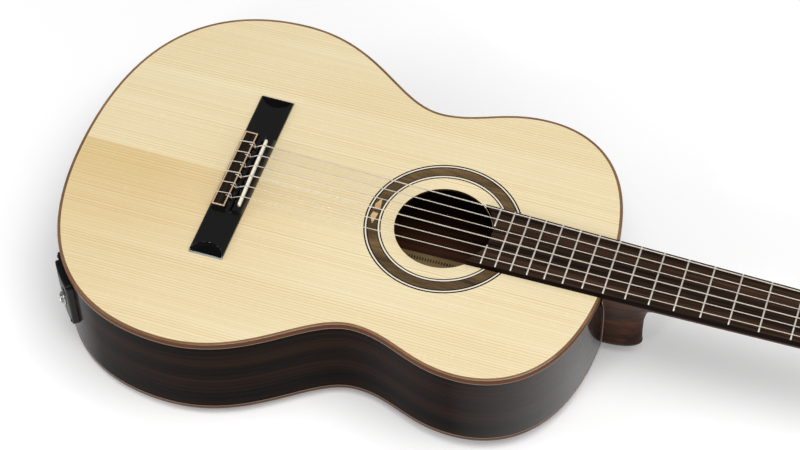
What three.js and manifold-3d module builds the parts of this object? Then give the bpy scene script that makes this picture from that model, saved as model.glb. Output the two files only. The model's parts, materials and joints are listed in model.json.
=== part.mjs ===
// A classical guitar, life size, as an assembly of separate pieces.
//
// Millimetres. The model is drawn in a luthier's frame and moved at the end:
//   x  runs along the strings, 0 at the body joint (the 12th fret), + towards the head
//   y  runs across, + on the bass side
//   z  is 0 on the soundboard's outer face, + out of the face
// The last lines move the group so that its origin is the bottom centre of the whole guitar.

import * as THREE from "three";
import { mergeVertices } from "three/addons/utils/BufferGeometryUtils.js";
import Module from "manifold-3d";

const wasm = await Module();
wasm.setup();

// ---------------------------------------------------------------- driving dimensions

const GLUE_LINE = 0.2; // gap left between pieces that touch
const SCALE_LENGTH = 650;
const BODY_LENGTH = 490;

// body outline: stations along one half, with the lengths of the curve handles on either side
const LOWER_BOUT = { x: -343.5, half: 185.3 };
const WAIST = { x: -192, half: 122.8 };
const UPPER_BOUT = { x: -97, half: 144.7 };
const OUTLINE_STATIONS = [
  { at: [-BODY_LENGTH, 0], heading: [0, 1], after: 156.5 },
  { at: [LOWER_BOUT.x, LOWER_BOUT.half], heading: [1, 0], before: 59.7, after: 76.2 },
  { at: [WAIST.x, WAIST.half], heading: [1, 0], before: 42.3, after: 34 },
  { at: [UPPER_BOUT.x, UPPER_BOUT.half], heading: [1, 0], before: 42.2, after: 40 },
  { at: [0, 0], heading: [0, -1], before: 121 },
];
const STEPS_PER_SPAN = 8;

// depth of the body along its centre line, and the crosswise arch of the back
const DEPTH_AT_TAIL = 107.5;
const DEPTH_AT_NECK = 95;
const BACK_ARCH = 1.1e-4; // rise = BACK_ARCH * y * y
const BACK_STRIP_WIDTH = 9; // flat along the middle of the back

const TOP_THICKNESS = 2.5;
const BACK_THICKNESS = 2.6;
const RIB_THICKNESS = 2.8;
const TOP_BINDING_HEIGHT = 6;
const BACK_BINDING_HEIGHT = 5;
const LINING_WIDTH = 6.5;
const LINING_HEIGHT = 8.5;

const SOUNDHOLE = { x: -151.3, radius: 43 };
const ROSETTE = { inner: 54.2, outer: 69.8, depth: 1.2 };

// neck and fretboard
const NUT_X = SCALE_LENGTH / 2;
const BOARD_HALF_AT_NUT = 24;
const BOARD_HALF_AT_JOINT = 29.7;
const BOARD_THICKNESS = 6.3;
const BOARD_END_RADIUS = 44.3; // the board ends on an arc around the soundhole
const FRET_COUNT = 19;
const FRET = { width: 2, height: 1, inset: 0.5 };
const NECK_DEPTH_AT_NUT = 15.5;
const NECK_DEPTH_AT_HEEL = 17.5;
const HEEL_BOTTOM = -91;
const HEEL_CAP_THICKNESS = 2.6;
const NUT_WIDTH = 5.6;
const NUT_TOP = 7.6;

// head, in its own tilted frame: u away from the nut, v across, w out of its face
const HEAD_TILT = THREE.MathUtils.degToRad(14);
const HEAD_ORIGIN_X = NUT_X + NUT_WIDTH + 0.5;
const HEAD_LENGTH = 188;
const HEAD_HALF_WIDTH = 34;
const HEAD_THICKNESS = 20;
const VENEER_THICKNESS = 2;
const SCARF_U = 14; // where the head's own wood starts
const SLOT = { from: 27, to: 146, inner: 7.5, outer: 22.5 };

// tuning machines
const ROLLER_U = [57, 92, 127];
const ROLLER_W = -9;
const ROLLER_RADIUS = 5;
const GEAR = { teeth: 14, tip: 6.6, root: 5.2, width: 3 };
const WORM_OFFSET = 8.1; // from the roller's axis to the worm's, along u
const WORM_CORE_RADIUS = 1.3;
const PLATE_THICKNESS = 1.2;
const KNOB_HALF = { u: 9, v: 5, w: 9.5 };

// bridge
const BRIDGE = { back: -353.2, front: -322.6, halfLength: 92.4, wing: 3.4 };
const TIE_BLOCK = { back: -350.6, front: -338.8, half: 42.6, top: 8.2 };
const TIE_HOLE_Z = 5.2;
const SADDLE = { x: -327.9, half: 38, thickness: 2.6, top: 11.2, slant: 1.6 };

// strings, treble to bass, with their diameters
const STRINGS = [
  { name: "string_1_e", diameter: 0.72 },
  { name: "string_2_b", diameter: 0.82 },
  { name: "string_3_g", diameter: 1.02 },
  { name: "string_4_d", diameter: 0.76 },
  { name: "string_5_a", diameter: 0.9 },
  { name: "string_6_e", diameter: 1.1 },
];
const SADDLE_SPACING = 11.9;
const NUT_SPACING = 8;
const STRING_SIDES = 6;

// electronics on the treble rib, in a frame of its own: X out of the rib, Y along it, Z up
const PLATE_ARC = 144; // distance along the outline from the tail
const PLATE = { from: -21.5, to: 21.5, bottom: -66.5, top: -10.5, corner: 4 };
const RAISED_FROM = -13.5; // the plate is thin up to here, and thick beyond
const FLANGE_FACE = 2.4;
const RAISED_FACE = 5.6;
const BATTERY = { length: 48.5, width: 26.5, thickness: 17.5 };
const DRAWER = { y: 3.8, z: -24.3 };
const JACK = { y: 4, z: -45, bore: 3.3, end: 9 };

// ---------------------------------------------------------------- materials

const finish = (color, roughness, metalness = 0) =>
  new THREE.MeshStandardMaterial({ color, roughness, metalness });
const SPRUCE = finish(0xe8d6a4, 0.35);
const INNER_SPRUCE = finish(0xd9c08c, 0.7);
const ROSEWOOD = finish(0x2a1a12, 0.25);
const BINDING_WOOD = finish(0x8a5a34, 0.3);
const MAHOGANY = finish(0x4a2c1c, 0.35);
const BOARD_WOOD = finish(0x33241d, 0.45);
const EBONY = finish(0x151413, 0.35);
const BONE = finish(0xf1ead8, 0.35);
const MAPLE = finish(0xc9a578, 0.4);
const ROSETTE_WOOD = finish(0x54452e, 0.35);
const BRASS = finish(0xb8923c, 0.25, 1);
const PEARL = finish(0xe9e4d6, 0.3);
const NYLON = finish(0xe8e2cf, 0.3);
const WOUND = finish(0xb9b4aa, 0.3, 1);
const BLACK_PLASTIC = finish(0x101010, 0.35);
const NICKEL = finish(0xc9c9c6, 0.2, 1);
const PAPER = finish(0xd8c9a8, 0.8);
const BATTERY_SKIN = finish(0x2b2f36, 0.4);

// ---------------------------------------------------------------- making solids

const guitar = new THREE.Group();

function addMesh(name, geometry, material, parent = guitar) {
  const mesh = new THREE.Mesh(geometry, material);
  mesh.name = name;
  parent.add(mesh);
  return mesh;
}

function toSolid(geometry) {
  const bare = new THREE.BufferGeometry();
  const flat = geometry.index ? geometry.toNonIndexed() : geometry;
  bare.setAttribute("position", flat.getAttribute("position"));
  const merged = mergeVertices(bare, 1e-3);
  return new wasm.Manifold(
    new wasm.Mesh({
      numProp: 3,
      vertProperties: merged.attributes.position.array,
      triVerts: new Uint32Array(merged.index.array),
    }),
  );
}

function toGeometry(solid) {
  const mesh = solid.getMesh();
  const positions = new Float32Array(mesh.numVert * 3);
  for (let i = 0; i < mesh.numVert; i++) {
    positions.set(mesh.vertProperties.subarray(i * mesh.numProp, i * mesh.numProp + 3), i * 3);
  }
  return new THREE.BufferGeometry()
    .setAttribute("position", new THREE.BufferAttribute(positions, 3))
    .setIndex(new THREE.BufferAttribute(mesh.triVerts, 1));
}

const joined = (first, ...others) => others.reduce((sum, other) => sum.add(other), first);
const less = (first, ...cuts) => cuts.reduce((rest, cut) => rest.subtract(cut), first);

// A box between two corners.
function box([x0, x1], [y0, y1], [z0, z1]) {
  return new THREE.BoxGeometry(x1 - x0, y1 - y0, z1 - z0).translate(
    (x0 + x1) / 2,
    (y0 + y1) / 2,
    (z0 + z1) / 2,
  );
}

// A flat outline in x and y, drawn up from z0 to z1.
function prism(outline, z0, z1) {
  const shape = outline instanceof THREE.Shape ? outline : new THREE.Shape(outline);
  return new THREE.ExtrudeGeometry(shape, {
    depth: z1 - z0,
    bevelEnabled: false,
    curveSegments: 8,
  }).translate(0, 0, z0);
}

// A section in x and z, drawn across from y0 to y1.
function crosswise(section, y0, y1) {
  const points = section.map(([x, z]) => new THREE.Vector2(x, z));
  return new THREE.ExtrudeGeometry(new THREE.Shape(points), { depth: y1 - y0, bevelEnabled: false })
    .rotateX(Math.PI / 2)
    .translate(0, y1, 0);
}

// A cylinder along y or z about a point, or along x.
function cylinder(axis, radius, from, to, [a, b], sides = 16) {
  const made = new THREE.CylinderGeometry(radius, radius, to - from, sides);
  const middle = (from + to) / 2;
  if (axis === "x") return made.rotateZ(-Math.PI / 2).translate(middle, a, b);
  if (axis === "y") return made.translate(a, middle, b);
  return made.rotateX(Math.PI / 2).translate(a, b, middle);
}

// A closed skin through rings of points, each ring with the same number of points.
function loft(rings) {
  const count = rings[0].length;
  const positions = rings.flat().flatMap((p) => [p.x, p.y, p.z]);
  const index = [];
  for (let r = 0; r + 1 < rings.length; r++) {
    for (let i = 0; i < count; i++) {
      const a = r * count + i;
      const b = r * count + ((i + 1) % count);
      index.push(a, b, b + count, a, b + count, a + count);
    }
  }
  const last = (rings.length - 1) * count;
  for (let i = 1; i + 1 < count; i++) {
    index.push(0, i + 1, i);
    index.push(last, last + i, last + i + 1);
  }
  return new THREE.BufferGeometry()
    .setAttribute("position", new THREE.Float32BufferAttribute(positions, 3))
    .setIndex(index);
}

// ---------------------------------------------------------------- body outline

const spans = OUTLINE_STATIONS.slice(0, -1).map((start, i) => {
  const end = OUTLINE_STATIONS[i + 1];
  const p0 = new THREE.Vector2(...start.at);
  const p3 = new THREE.Vector2(...end.at);
  const p1 = p0.clone().addScaledVector(new THREE.Vector2(...start.heading), start.after);
  const p2 = p3.clone().addScaledVector(new THREE.Vector2(...end.heading), -end.before);
  return new THREE.CubicBezierCurve(p0, p1, p2, p3);
});

// One half of the outline, tail to neck, moved inwards by `inset`. side is +1 for bass.
function halfOutline(inset, side = 1) {
  const points = [];
  spans.forEach((span, s) => {
    for (let i = s === 0 ? 0 : 1; i <= STEPS_PER_SPAN; i++) {
      const t = i / STEPS_PER_SPAN;
      const along = span.getTangent(t);
      const p = span.getPoint(t);
      points.push(new THREE.Vector2(p.x + along.y * inset, (p.y - along.x * inset) * side));
    }
  });
  return points;
}

function fullOutline(inset) {
  const bass = halfOutline(inset, 1);
  const treble = halfOutline(inset, -1).reverse();
  return [...bass, ...treble.slice(1, -1)];
}

// The plate inside `inset` on one side of the centre line, `gap` clear of it.
function halfPlate(inset, side, gap, z0, z1) {
  const block = toSolid(prism(fullOutline(inset), z0, z1));
  const ys = side > 0 ? [gap, 300] : [-300, -gap];
  return block.intersect(toSolid(box([-600, 100], ys, [z0 - 1, z1 + 1])));
}

// The wall between two insets, all round.
function ring(outer, inner, z0, z1) {
  const block = toSolid(prism(fullOutline(outer), z0, z1));
  return block.subtract(toSolid(prism(fullOutline(inner), z0 - 1, z1 + 1)));
}

const oneSide = (solid, side, gap = GLUE_LINE / 2) =>
  solid.intersect(toSolid(box([-600, 100], side > 0 ? [gap, 300] : [-300, -gap], [-200, 50])));

// ---------------------------------------------------------------- arched back

const BACK_SLOPE = (DEPTH_AT_TAIL - DEPTH_AT_NECK) / BODY_LENGTH;
const backRise = (y) =>
  BACK_ARCH * Math.max(0, y * y - (BACK_STRIP_WIDTH / 2) * (BACK_STRIP_WIDTH / 2));

// Everything more than `height` above the back's outer face.
function aboveBack(height) {
  const flat = BACK_STRIP_WIDTH / 2;
  const ys = [-200, -150, -100, -50, -flat, flat, 50, 100, 150, 200];
  const section = ys.map((y) => new THREE.Vector2(y, -DEPTH_AT_NECK + backRise(y) + height));
  section.push(new THREE.Vector2(200, 60), new THREE.Vector2(-200, 60));
  const start = -BODY_LENGTH - 20;
  const skew = new THREE.Matrix4().set(
    ...[0, 0, 1, start],
    ...[1, 0, 0, 0],
    ...[0, 1, BACK_SLOPE, BACK_SLOPE * start],
    ...[0, 0, 0, 1],
  );
  const block = new THREE.ExtrudeGeometry(new THREE.Shape(section), {
    depth: BODY_LENGTH + 60,
    bevelEnabled: false,
  });
  return toSolid(block.applyMatrix4(skew));
}

// What lies between two heights above the back's outer face.
const backLayer = (solid, low, high) =>
  solid.intersect(aboveBack(low)).subtract(aboveBack(high));

// ---------------------------------------------------------------- electronics' place on the rib

const plateSpot = PLATE_ARC / spans[0].getLength();
const platePoint = spans[0].getPointAt(plateSpot);
const plateAlong = spans[0].getTangentAt(plateSpot);
const PLATE_FRAME = new THREE.Matrix4()
  .makeBasis(
    new THREE.Vector3(-plateAlong.y, -plateAlong.x, 0),
    new THREE.Vector3(plateAlong.x, -plateAlong.y, 0),
    new THREE.Vector3(0, 0, 1),
  )
  .setPosition(platePoint.x, -platePoint.y, 0);
const onRib = (geometry) => toSolid(geometry.applyMatrix4(PLATE_FRAME));

const SLEEVE_HALF = { y: 16.3, z: 12 };
const drawerBox = (grow, from, to) =>
  onRib(
    box(
      [from, to],
      [DRAWER.y - SLEEVE_HALF.y - grow, DRAWER.y + SLEEVE_HALF.y + grow],
      [DRAWER.z - SLEEVE_HALF.z - grow, DRAWER.z + SLEEVE_HALF.z + grow],
    ),
  );

// ---------------------------------------------------------------- soundboard, rosette, bars

function soundboardHalf(side) {
  const plate = halfPlate(RIB_THICKNESS + GLUE_LINE, side, GLUE_LINE / 2, -TOP_THICKNESS, 0);
  const at = [SOUNDHOLE.x, 0];
  const hole = toSolid(cylinder("z", SOUNDHOLE.radius, -10, 10, at, 48));
  const channel = less(
    toSolid(cylinder("z", ROSETTE.outer + 0.1, -ROSETTE.depth - 0.1, 10, at, 48)),
    toSolid(cylinder("z", ROSETTE.inner - 0.1, -10, 20, at, 48)),
  );
  return toGeometry(less(plate, hole, channel));
}

function rosetteRing() {
  const { inner, outer, depth } = ROSETTE;
  const section = [
    [inner, -depth],
    [outer, -depth],
    [outer, 0],
    [inner, 0],
    [inner, -depth],
  ].map(([r, h]) => new THREE.Vector2(r, h));
  return new THREE.LatheGeometry(section, 48).rotateX(Math.PI / 2).translate(SOUNDHOLE.x, 0, 0);
}

addMesh("soundboard_bass_half", soundboardHalf(1), SPRUCE);
addMesh("soundboard_treble_half", soundboardHalf(-1), SPRUCE);
addMesh("rosette", rosetteRing(), ROSETTE_WOOD);

const BAR_TOP = -TOP_THICKNESS - GLUE_LINE;
const insideLinings = toSolid(
  prism(fullOutline(RIB_THICKNESS + 2 * GLUE_LINE + LINING_WIDTH), -200, 50),
);

function crossBar(x, height) {
  const bar = toSolid(box([x - 3.5, x + 3.5], [-250, 250], [BAR_TOP - height, BAR_TOP]));
  return toGeometry(bar.intersect(insideLinings));
}
addMesh("upper_harmonic_bar", crossBar(SOUNDHOLE.x + 60, 15), INNER_SPRUCE);
addMesh("lower_harmonic_bar", crossBar(SOUNDHOLE.x - 60, 15), INNER_SPRUCE);

const FAN_COUNT = 5;
for (let i = 0; i < FAN_COUNT; i++) {
  const step = i - (FAN_COUNT - 1) / 2;
  const section = [
    [-3, 0],
    [-1.5, -5.5],
    [1.5, -5.5],
    [3, 0],
  ].map(([y, z]) => new THREE.Vector2(y, z));
  const length = 205 - 12 * Math.abs(step);
  const strut = new THREE.ExtrudeGeometry(new THREE.Shape(section), {
    depth: length,
    bevelEnabled: false,
  });
  strut.rotateX(Math.PI / 2).rotateZ(-Math.PI / 2);
  const mesh = addMesh(`fan_strut_${i + 1}`, strut, INNER_SPRUCE);
  mesh.position.set(-229, step * 30, BAR_TOP);
  mesh.rotation.z = THREE.MathUtils.degToRad(-7 * step);
}

// ---------------------------------------------------------------- ribs, bindings, linings, blocks

const INSIDE = RIB_THICKNESS + GLUE_LINE;
const TOP_EDGE = -TOP_BINDING_HEIGHT - GLUE_LINE;

const ribWall = ring(0, RIB_THICKNESS, -130, TOP_EDGE).intersect(
  aboveBack(BACK_BINDING_HEIGHT + GLUE_LINE),
);
const jackHole = onRib(cylinder("x", 4.8, -30, 20, [JACK.y, JACK.z]));
addMesh("rib_bass", toGeometry(oneSide(ribWall, 1)), ROSEWOOD);
addMesh(
  "rib_treble",
  toGeometry(less(oneSide(ribWall, -1), drawerBox(0.3, -20, 20), jackHole)),
  ROSEWOOD,
);

addMesh("top_binding", toGeometry(ring(0, RIB_THICKNESS, -TOP_BINDING_HEIGHT, 0)), BINDING_WOOD);
const backEdge = ring(0, RIB_THICKNESS, -130, 0);
addMesh(
  "back_binding",
  toGeometry(backLayer(backEdge, 0, BACK_BINDING_HEIGHT)),
  BINDING_WOOD,
);

const NECK_BLOCK = { from: -62, half: 38 };
const TAIL_BLOCK = { to: -BODY_LENGTH + 20, half: 42 };
const blockSpace = (grow) =>
  joined(
    toSolid(box([NECK_BLOCK.from - grow, 50], [-NECK_BLOCK.half - grow, NECK_BLOCK.half + grow], [-150, 10])),
    toSolid(box([-600, TAIL_BLOCK.to + grow], [-TAIL_BLOCK.half - grow, TAIL_BLOCK.half + grow], [-150, 10])),
  );
const cavity = toSolid(prism(fullOutline(INSIDE), -150, BAR_TOP)).intersect(
  aboveBack(BACK_THICKNESS + GLUE_LINE),
);
const blocks = cavity.intersect(blockSpace(0));
const neckEnd = toSolid(box([-200, 100], [-200, 200], [-200, 50]));
addMesh("neck_block", toGeometry(blocks.intersect(neckEnd)), MAHOGANY);
addMesh("tail_block", toGeometry(blocks.subtract(neckEnd)), MAHOGANY);

const liningWall = less(ring(INSIDE, INSIDE + LINING_WIDTH, -150, BAR_TOP), blockSpace(GLUE_LINE));
const topLining = liningWall.intersect(
  toSolid(box([-600, 100], [-300, 300], [BAR_TOP - LINING_HEIGHT, 10])),
);
const backLining = backLayer(
  liningWall,
  BACK_THICKNESS + GLUE_LINE,
  BACK_THICKNESS + GLUE_LINE + LINING_HEIGHT,
);
for (const [word, side] of [
  ["bass", 1],
  ["treble", -1],
]) {
  addMesh(`top_lining_${word}`, toGeometry(oneSide(topLining, side)), INNER_SPRUCE);
  addMesh(`back_lining_${word}`, toGeometry(oneSide(backLining, side)), INNER_SPRUCE);
}

// ---------------------------------------------------------------- back

const stripHalf = BACK_STRIP_WIDTH / 2;
const backSheet = backLayer(toSolid(prism(fullOutline(INSIDE), -130, 0)), 0, BACK_THICKNESS);
addMesh("back_bass_half", toGeometry(oneSide(backSheet, 1, stripHalf + GLUE_LINE / 2)), ROSEWOOD);
addMesh("back_treble_half", toGeometry(oneSide(backSheet, -1, stripHalf + GLUE_LINE / 2)), ROSEWOOD);
const stripBox = toSolid(
  box([-600, 100], [-stripHalf + GLUE_LINE / 2, stripHalf - GLUE_LINE / 2], [-200, 50]),
);
addMesh("back_centre_strip", toGeometry(backSheet.intersect(stripBox)), BINDING_WOOD);

const BACK_BAR_X = [-105, -226, -345];
BACK_BAR_X.forEach((x, i) => {
  const low = BACK_THICKNESS + GLUE_LINE;
  const bar = toSolid(box([x - 3.5, x + 3.5], [-250, 250], [-150, 0])).intersect(insideLinings);
  addMesh(`back_bar_${i + 1}`, toGeometry(backLayer(bar, low, low + 14)), INNER_SPRUCE);
});

const LABEL = { x: -165, halfLength: 53, half: 35, thickness: 0.3 };
const labelBox = box(
  [LABEL.x - LABEL.halfLength, LABEL.x + LABEL.halfLength],
  [-LABEL.half, LABEL.half],
  [-150, 0],
);
const labelLow = BACK_THICKNESS + GLUE_LINE / 2;
addMesh("label", toGeometry(backLayer(toSolid(labelBox), labelLow, labelLow + LABEL.thickness)), PAPER);

// ---------------------------------------------------------------- fretboard with its frets

const BOARD_TAPER = (BOARD_HALF_AT_JOINT - BOARD_HALF_AT_NUT) / NUT_X;
const boardHalf = (x) => BOARD_HALF_AT_JOINT - BOARD_TAPER * x;
const fretX = (n) => SCALE_LENGTH * (2 ** (-n / 12) - 0.5);
const BOARD_LOW = 0.1;

function fretboard() {
  const longest = SOUNDHOLE.x + Math.sqrt(BOARD_END_RADIUS ** 2 - boardHalf(-120) ** 2);
  const outline = [
    [longest, -boardHalf(longest)],
    [NUT_X, -BOARD_HALF_AT_NUT],
    [NUT_X, BOARD_HALF_AT_NUT],
    [longest, boardHalf(longest)],
  ].map(([x, y]) => new THREE.Vector2(x, y));
  let board = toSolid(prism(outline, BOARD_LOW, BOARD_THICKNESS));
  const half = FRET.width / 2;
  for (let n = 1; n <= FRET_COUNT; n++) {
    const x = fretX(n);
    const reach = boardHalf(x) - FRET.inset;
    const top = BOARD_THICKNESS + FRET.height;
    const crown = [
      [x - half, BOARD_THICKNESS - 0.4],
      [x + half, BOARD_THICKNESS - 0.4],
      [x + half, BOARD_THICKNESS + 0.35],
      [x + half * 0.45, top],
      [x - half * 0.45, top],
      [x - half, BOARD_THICKNESS + 0.35],
    ];
    board = board.add(toSolid(crosswise(crown, -reach, reach)));
  }
  const end = cylinder("z", BOARD_END_RADIUS, -5, 20, [SOUNDHOLE.x, 0], 64);
  return toGeometry(board.subtract(toSolid(end)));
}
addMesh("fretboard", fretboard(), BOARD_WOOD);

// ---------------------------------------------------------------- neck and heel

const SECTION_POINTS = 13;

// The lower half of a rounded section in y and z, closed by its flat top.
function neckSection(x, half, depth, squareness) {
  const ring = [];
  for (let i = 0; i < SECTION_POINTS; i++) {
    const angle = (Math.PI * i) / (SECTION_POINTS - 1);
    const c = Math.cos(angle);
    const s = Math.sin(angle);
    const y = half * Math.sign(c) * Math.abs(c) ** (2 / squareness);
    const z = -depth * s ** (2 / squareness);
    ring.push(new THREE.Vector3(x, i === 0 ? half : i === SECTION_POINTS - 1 ? -half : y, z));
  }
  return ring;
}

// One level of the heel: a blunt half oval reaching `nose` from the body.
function heelSection(z, half, nose) {
  const ring = [];
  for (let i = 0; i < SECTION_POINTS; i++) {
    const angle = (Math.PI * i) / (SECTION_POINTS - 1) - Math.PI / 2;
    const x = HEEL_START + nose * Math.cos(angle) ** 0.9;
    ring.push(new THREE.Vector3(x, half * Math.sin(angle), z));
  }
  return ring;
}

const HEEL_START = 0.3;
const HEEL_LEVELS = [
  // z, half width, nose
  [HEEL_BOTTOM + HEEL_CAP_THICKNESS + GLUE_LINE, 12.6, 34],
  [-75, 12.4, 33.3],
  [-60, 12.8, 33.3],
  [-48, 14, 34.6],
  [-38, 16, 38],
  [-30, 18.5, 43.5],
  [-23, 21.5, 52],
  [-17, 24.3, 64],
  [-11, 26.6, 78],
  [-5, 28.2, 90],
];
const NECK_STATIONS = [
  // x, depth, squareness
  [HEEL_START, NECK_DEPTH_AT_HEEL, 2.3],
  [80, NECK_DEPTH_AT_HEEL - 0.2, 2.3],
  [160, NECK_DEPTH_AT_HEEL - 0.8, 2.3],
  [240, NECK_DEPTH_AT_NUT + 0.7, 2.3],
  [NUT_X - 10, NECK_DEPTH_AT_NUT, 2.3],
  [NUT_X + 6, NECK_DEPTH_AT_NUT + 1.5, 2.6],
  [NUT_X + 16, 22, 4],
  [NUT_X + 30, 27, 5],
];

// Places something drawn in the head's tilted frame.
const HEAD_FRAME = new THREE.Matrix4()
  .makeRotationY(HEAD_TILT)
  .setPosition(HEAD_ORIGIN_X, 0, 0);
const inHead = (geometry) => toSolid(geometry.applyMatrix4(HEAD_FRAME));

function neck() {
  const shaft = toSolid(
    loft(
      NECK_STATIONS.map(([x, depth, squareness]) =>
        neckSection(x, Math.max(boardHalf(x), BOARD_HALF_AT_NUT), depth, squareness),
      ).reverse(),
    ),
  );
  const heel = toSolid(
    loft(HEEL_LEVELS.map(([z, half, nose]) => heelSection(z, half, nose))),
  );
  const roomForHead = joined(
    inHead(box([0, 80], [-60, 60], [-VENEER_THICKNESS - GLUE_LINE, 40])),
    inHead(box([SCARF_U, 80], [-60, 60], [-60, 40])),
  );
  const belowHead = inHead(box([-40, 80], [-60, 60], [-60, -HEAD_THICKNESS]));
  const headZone = toSolid(box([NUT_X + 6, 400], [-60, 60], [-80, 40]));
  return toGeometry(less(joined(shaft, heel), roomForHead, belowHead.intersect(headZone)));
}
addMesh("neck", neck(), MAHOGANY);

const capOutline = heelSection(0, 12.6, 34).map((p) => new THREE.Vector2(p.x, p.y));
addMesh(
  "heel_cap",
  prism(capOutline, HEEL_BOTTOM, HEEL_BOTTOM + HEEL_CAP_THICKNESS),
  EBONY,
);

addMesh(
  "nut",
  crosswise(
    [
      [NUT_X + 0.2, 0.2],
      [NUT_X + NUT_WIDTH, 0.2],
      [NUT_X + NUT_WIDTH, NUT_TOP - 2.8],
      [NUT_X + 1.8, NUT_TOP],
      [NUT_X + 0.2, NUT_TOP],
    ],
    -BOARD_HALF_AT_NUT + 0.1,
    BOARD_HALF_AT_NUT - 0.1,
  ),
  BONE,
);

// ---------------------------------------------------------------- head

function headOutline(start) {
  const shape = new THREE.Shape();
  const w = HEAD_HALF_WIDTH;
  shape.moveTo(start, -BOARD_HALF_AT_NUT);
  shape.bezierCurveTo(22, -BOARD_HALF_AT_NUT - 1, 24, -w, 34, -w);
  shape.lineTo(150, -w);
  shape.bezierCurveTo(158, -w, 160, -w + 3, 165, -w + 4);
  shape.bezierCurveTo(178, -w + 6, 188, -16, HEAD_LENGTH, 0);
  shape.bezierCurveTo(188, 16, 178, w - 6, 165, w - 4);
  shape.bezierCurveTo(160, w - 3, 158, w, 150, w);
  shape.lineTo(34, w);
  shape.bezierCurveTo(24, w, 22, BOARD_HALF_AT_NUT + 1, start, BOARD_HALF_AT_NUT);
  return shape;
}

function slotOutline(side) {
  const radius = (SLOT.outer - SLOT.inner) / 2;
  const middle = side * (SLOT.inner + radius);
  const shape = new THREE.Shape();
  shape.absarc(SLOT.from + radius, middle, radius, Math.PI / 2, (3 * Math.PI) / 2);
  shape.absarc(SLOT.to - radius, middle, radius, -Math.PI / 2, Math.PI / 2);
  return shape;
}

const slotCuts = [1, -1].map((side) => inHead(prism(slotOutline(side), -40, 20)));
const ROLLER_TIP_V = 5;
const rollerBores = [1, -1].flatMap((side) =>
  ROLLER_U.map((u) => {
    const ends = [side * (ROLLER_TIP_V - 0.5), side * 60].sort((a, b) => a - b);
    return inHead(cylinder("y", ROLLER_RADIUS + 0.4, ...ends, [u, ROLLER_W], 12));
  }),
);
const headBlock = inHead(
  prism(headOutline(SCARF_U + GLUE_LINE), -HEAD_THICKNESS, -VENEER_THICKNESS - GLUE_LINE),
);
addMesh("headstock", toGeometry(less(headBlock, ...slotCuts, ...rollerBores)), MAHOGANY);
const veneerSheet = inHead(prism(headOutline(0.3), -VENEER_THICKNESS, 0));
addMesh("head_veneer", toGeometry(less(veneerSheet, ...slotCuts)), ROSEWOOD);

// ---------------------------------------------------------------- tuning machines

const PLATE_V = HEAD_HALF_WIDTH + GLUE_LINE;
const GEAR_V = PLATE_V + PLATE_THICKNESS + 1.4;
const WORM_V = GEAR_V + GEAR.width / 2;
const LUG_W = [
  [-5, -3.4],
  [-17.4, -15.8],
];
const ends = (side, near, far) => (side > 0 ? [near, far] : [-far, -near]);

function tunerPlate(side) {
  const across = ends(side, PLATE_V, PLATE_V + PLATE_THICKNESS);
  let plate = toSolid(box([40, 150], across, [-17.4, -2.6]));
  for (const u of ROLLER_U) {
    const worm = [u + WORM_OFFSET, side * WORM_V];
    for (const [low, high] of LUG_W) {
      const lugAcross = ends(side, PLATE_V + 0.5, WORM_V + 2.6);
      const lug = box([worm[0] - 2.8, worm[0] + 2.8], lugAcross, [low, high]);
      plate = plate.add(toSolid(lug));
    }
    plate = less(
      plate,
      toSolid(cylinder("z", 1.7, -30, 10, worm, 12)),
      toSolid(cylinder("y", 2.8, ...ends(side, 20, PLATE_V + 3), [u, ROLLER_W], 12)),
    );
  }
  return toGeometry(plate);
}

function gearOutline() {
  const points = [];
  for (let i = 0; i < GEAR.teeth; i++) {
    for (const [part, radius] of [
      [0, GEAR.root],
      [0.3, GEAR.tip],
      [0.6, GEAR.tip],
      [0.9, GEAR.root],
    ]) {
      const angle = ((i + part) / GEAR.teeth) * 2 * Math.PI;
      points.push(new THREE.Vector2(radius * Math.cos(angle), radius * Math.sin(angle)));
    }
  }
  return points;
}

// A roller with its gear, about its own axis along v.
function roller(side) {
  const barrel = cylinder("y", ROLLER_RADIUS, ...ends(side, ROLLER_TIP_V, PLATE_V - 0.3), [0, 0], 12);
  const waist = cylinder("y", 2.5, ...ends(side, PLATE_V - 1, GEAR_V + 0.5), [0, 0], 10);
  const gear = prism(gearOutline(), 0, GEAR.width).rotateX(Math.PI / 2);
  gear.translate(0, side > 0 ? GEAR_V + GEAR.width : -GEAR_V, 0);
  const screw = cylinder("y", 2, ...ends(side, GEAR_V + 2, GEAR_V + GEAR.width + 1), [0, 0], 8);
  return toGeometry(joined(...[barrel, waist, gear, screw].map(toSolid)));
}

// A worm shaft with its button, about its own axis along w, with w 0 level with the roller.
function knob() {
  const section = [
    [0, 8.2],
    [WORM_CORE_RADIUS, 8.2],
    [WORM_CORE_RADIUS, -14],
    [3.2, -14.5],
    [3.2, -17],
    [0, -17],
  ].map(([r, w]) => new THREE.Vector2(r, w));
  const shaft = new THREE.LatheGeometry(section.reverse(), 10).rotateX(Math.PI / 2);
  const button = new THREE.SphereGeometry(1, 12, 7)
    .rotateX(Math.PI / 2)
    .scale(KNOB_HALF.u, KNOB_HALF.v, KNOB_HALF.w)
    .translate(0, 0, -17 - KNOB_HALF.w + 1.5);
  return toGeometry(joined(toSolid(shaft), toSolid(button)));
}

const head = new THREE.Group();
head.position.x = HEAD_ORIGIN_X;
head.rotation.y = HEAD_TILT;
guitar.add(head);

for (const [word, side] of [
  ["bass", 1],
  ["treble", -1],
]) {
  addMesh(`tuner_plate_${word}`, tunerPlate(side), BRASS, head);
  ROLLER_U.forEach((u, i) => {
    const number = side > 0 ? 6 - i : 1 + i; // the outer strings go to the nearest rollers
    const barrel = addMesh(`string_roller_${number}`, roller(side), BRASS, head);
    barrel.position.set(u, 0, ROLLER_W);
    const button = addMesh(`tuner_knob_${number}`, knob(), PEARL, head);
    button.position.set(u + WORM_OFFSET, side * WORM_V, ROLLER_W);
  });
}

// ---------------------------------------------------------------- bridge and saddle

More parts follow.
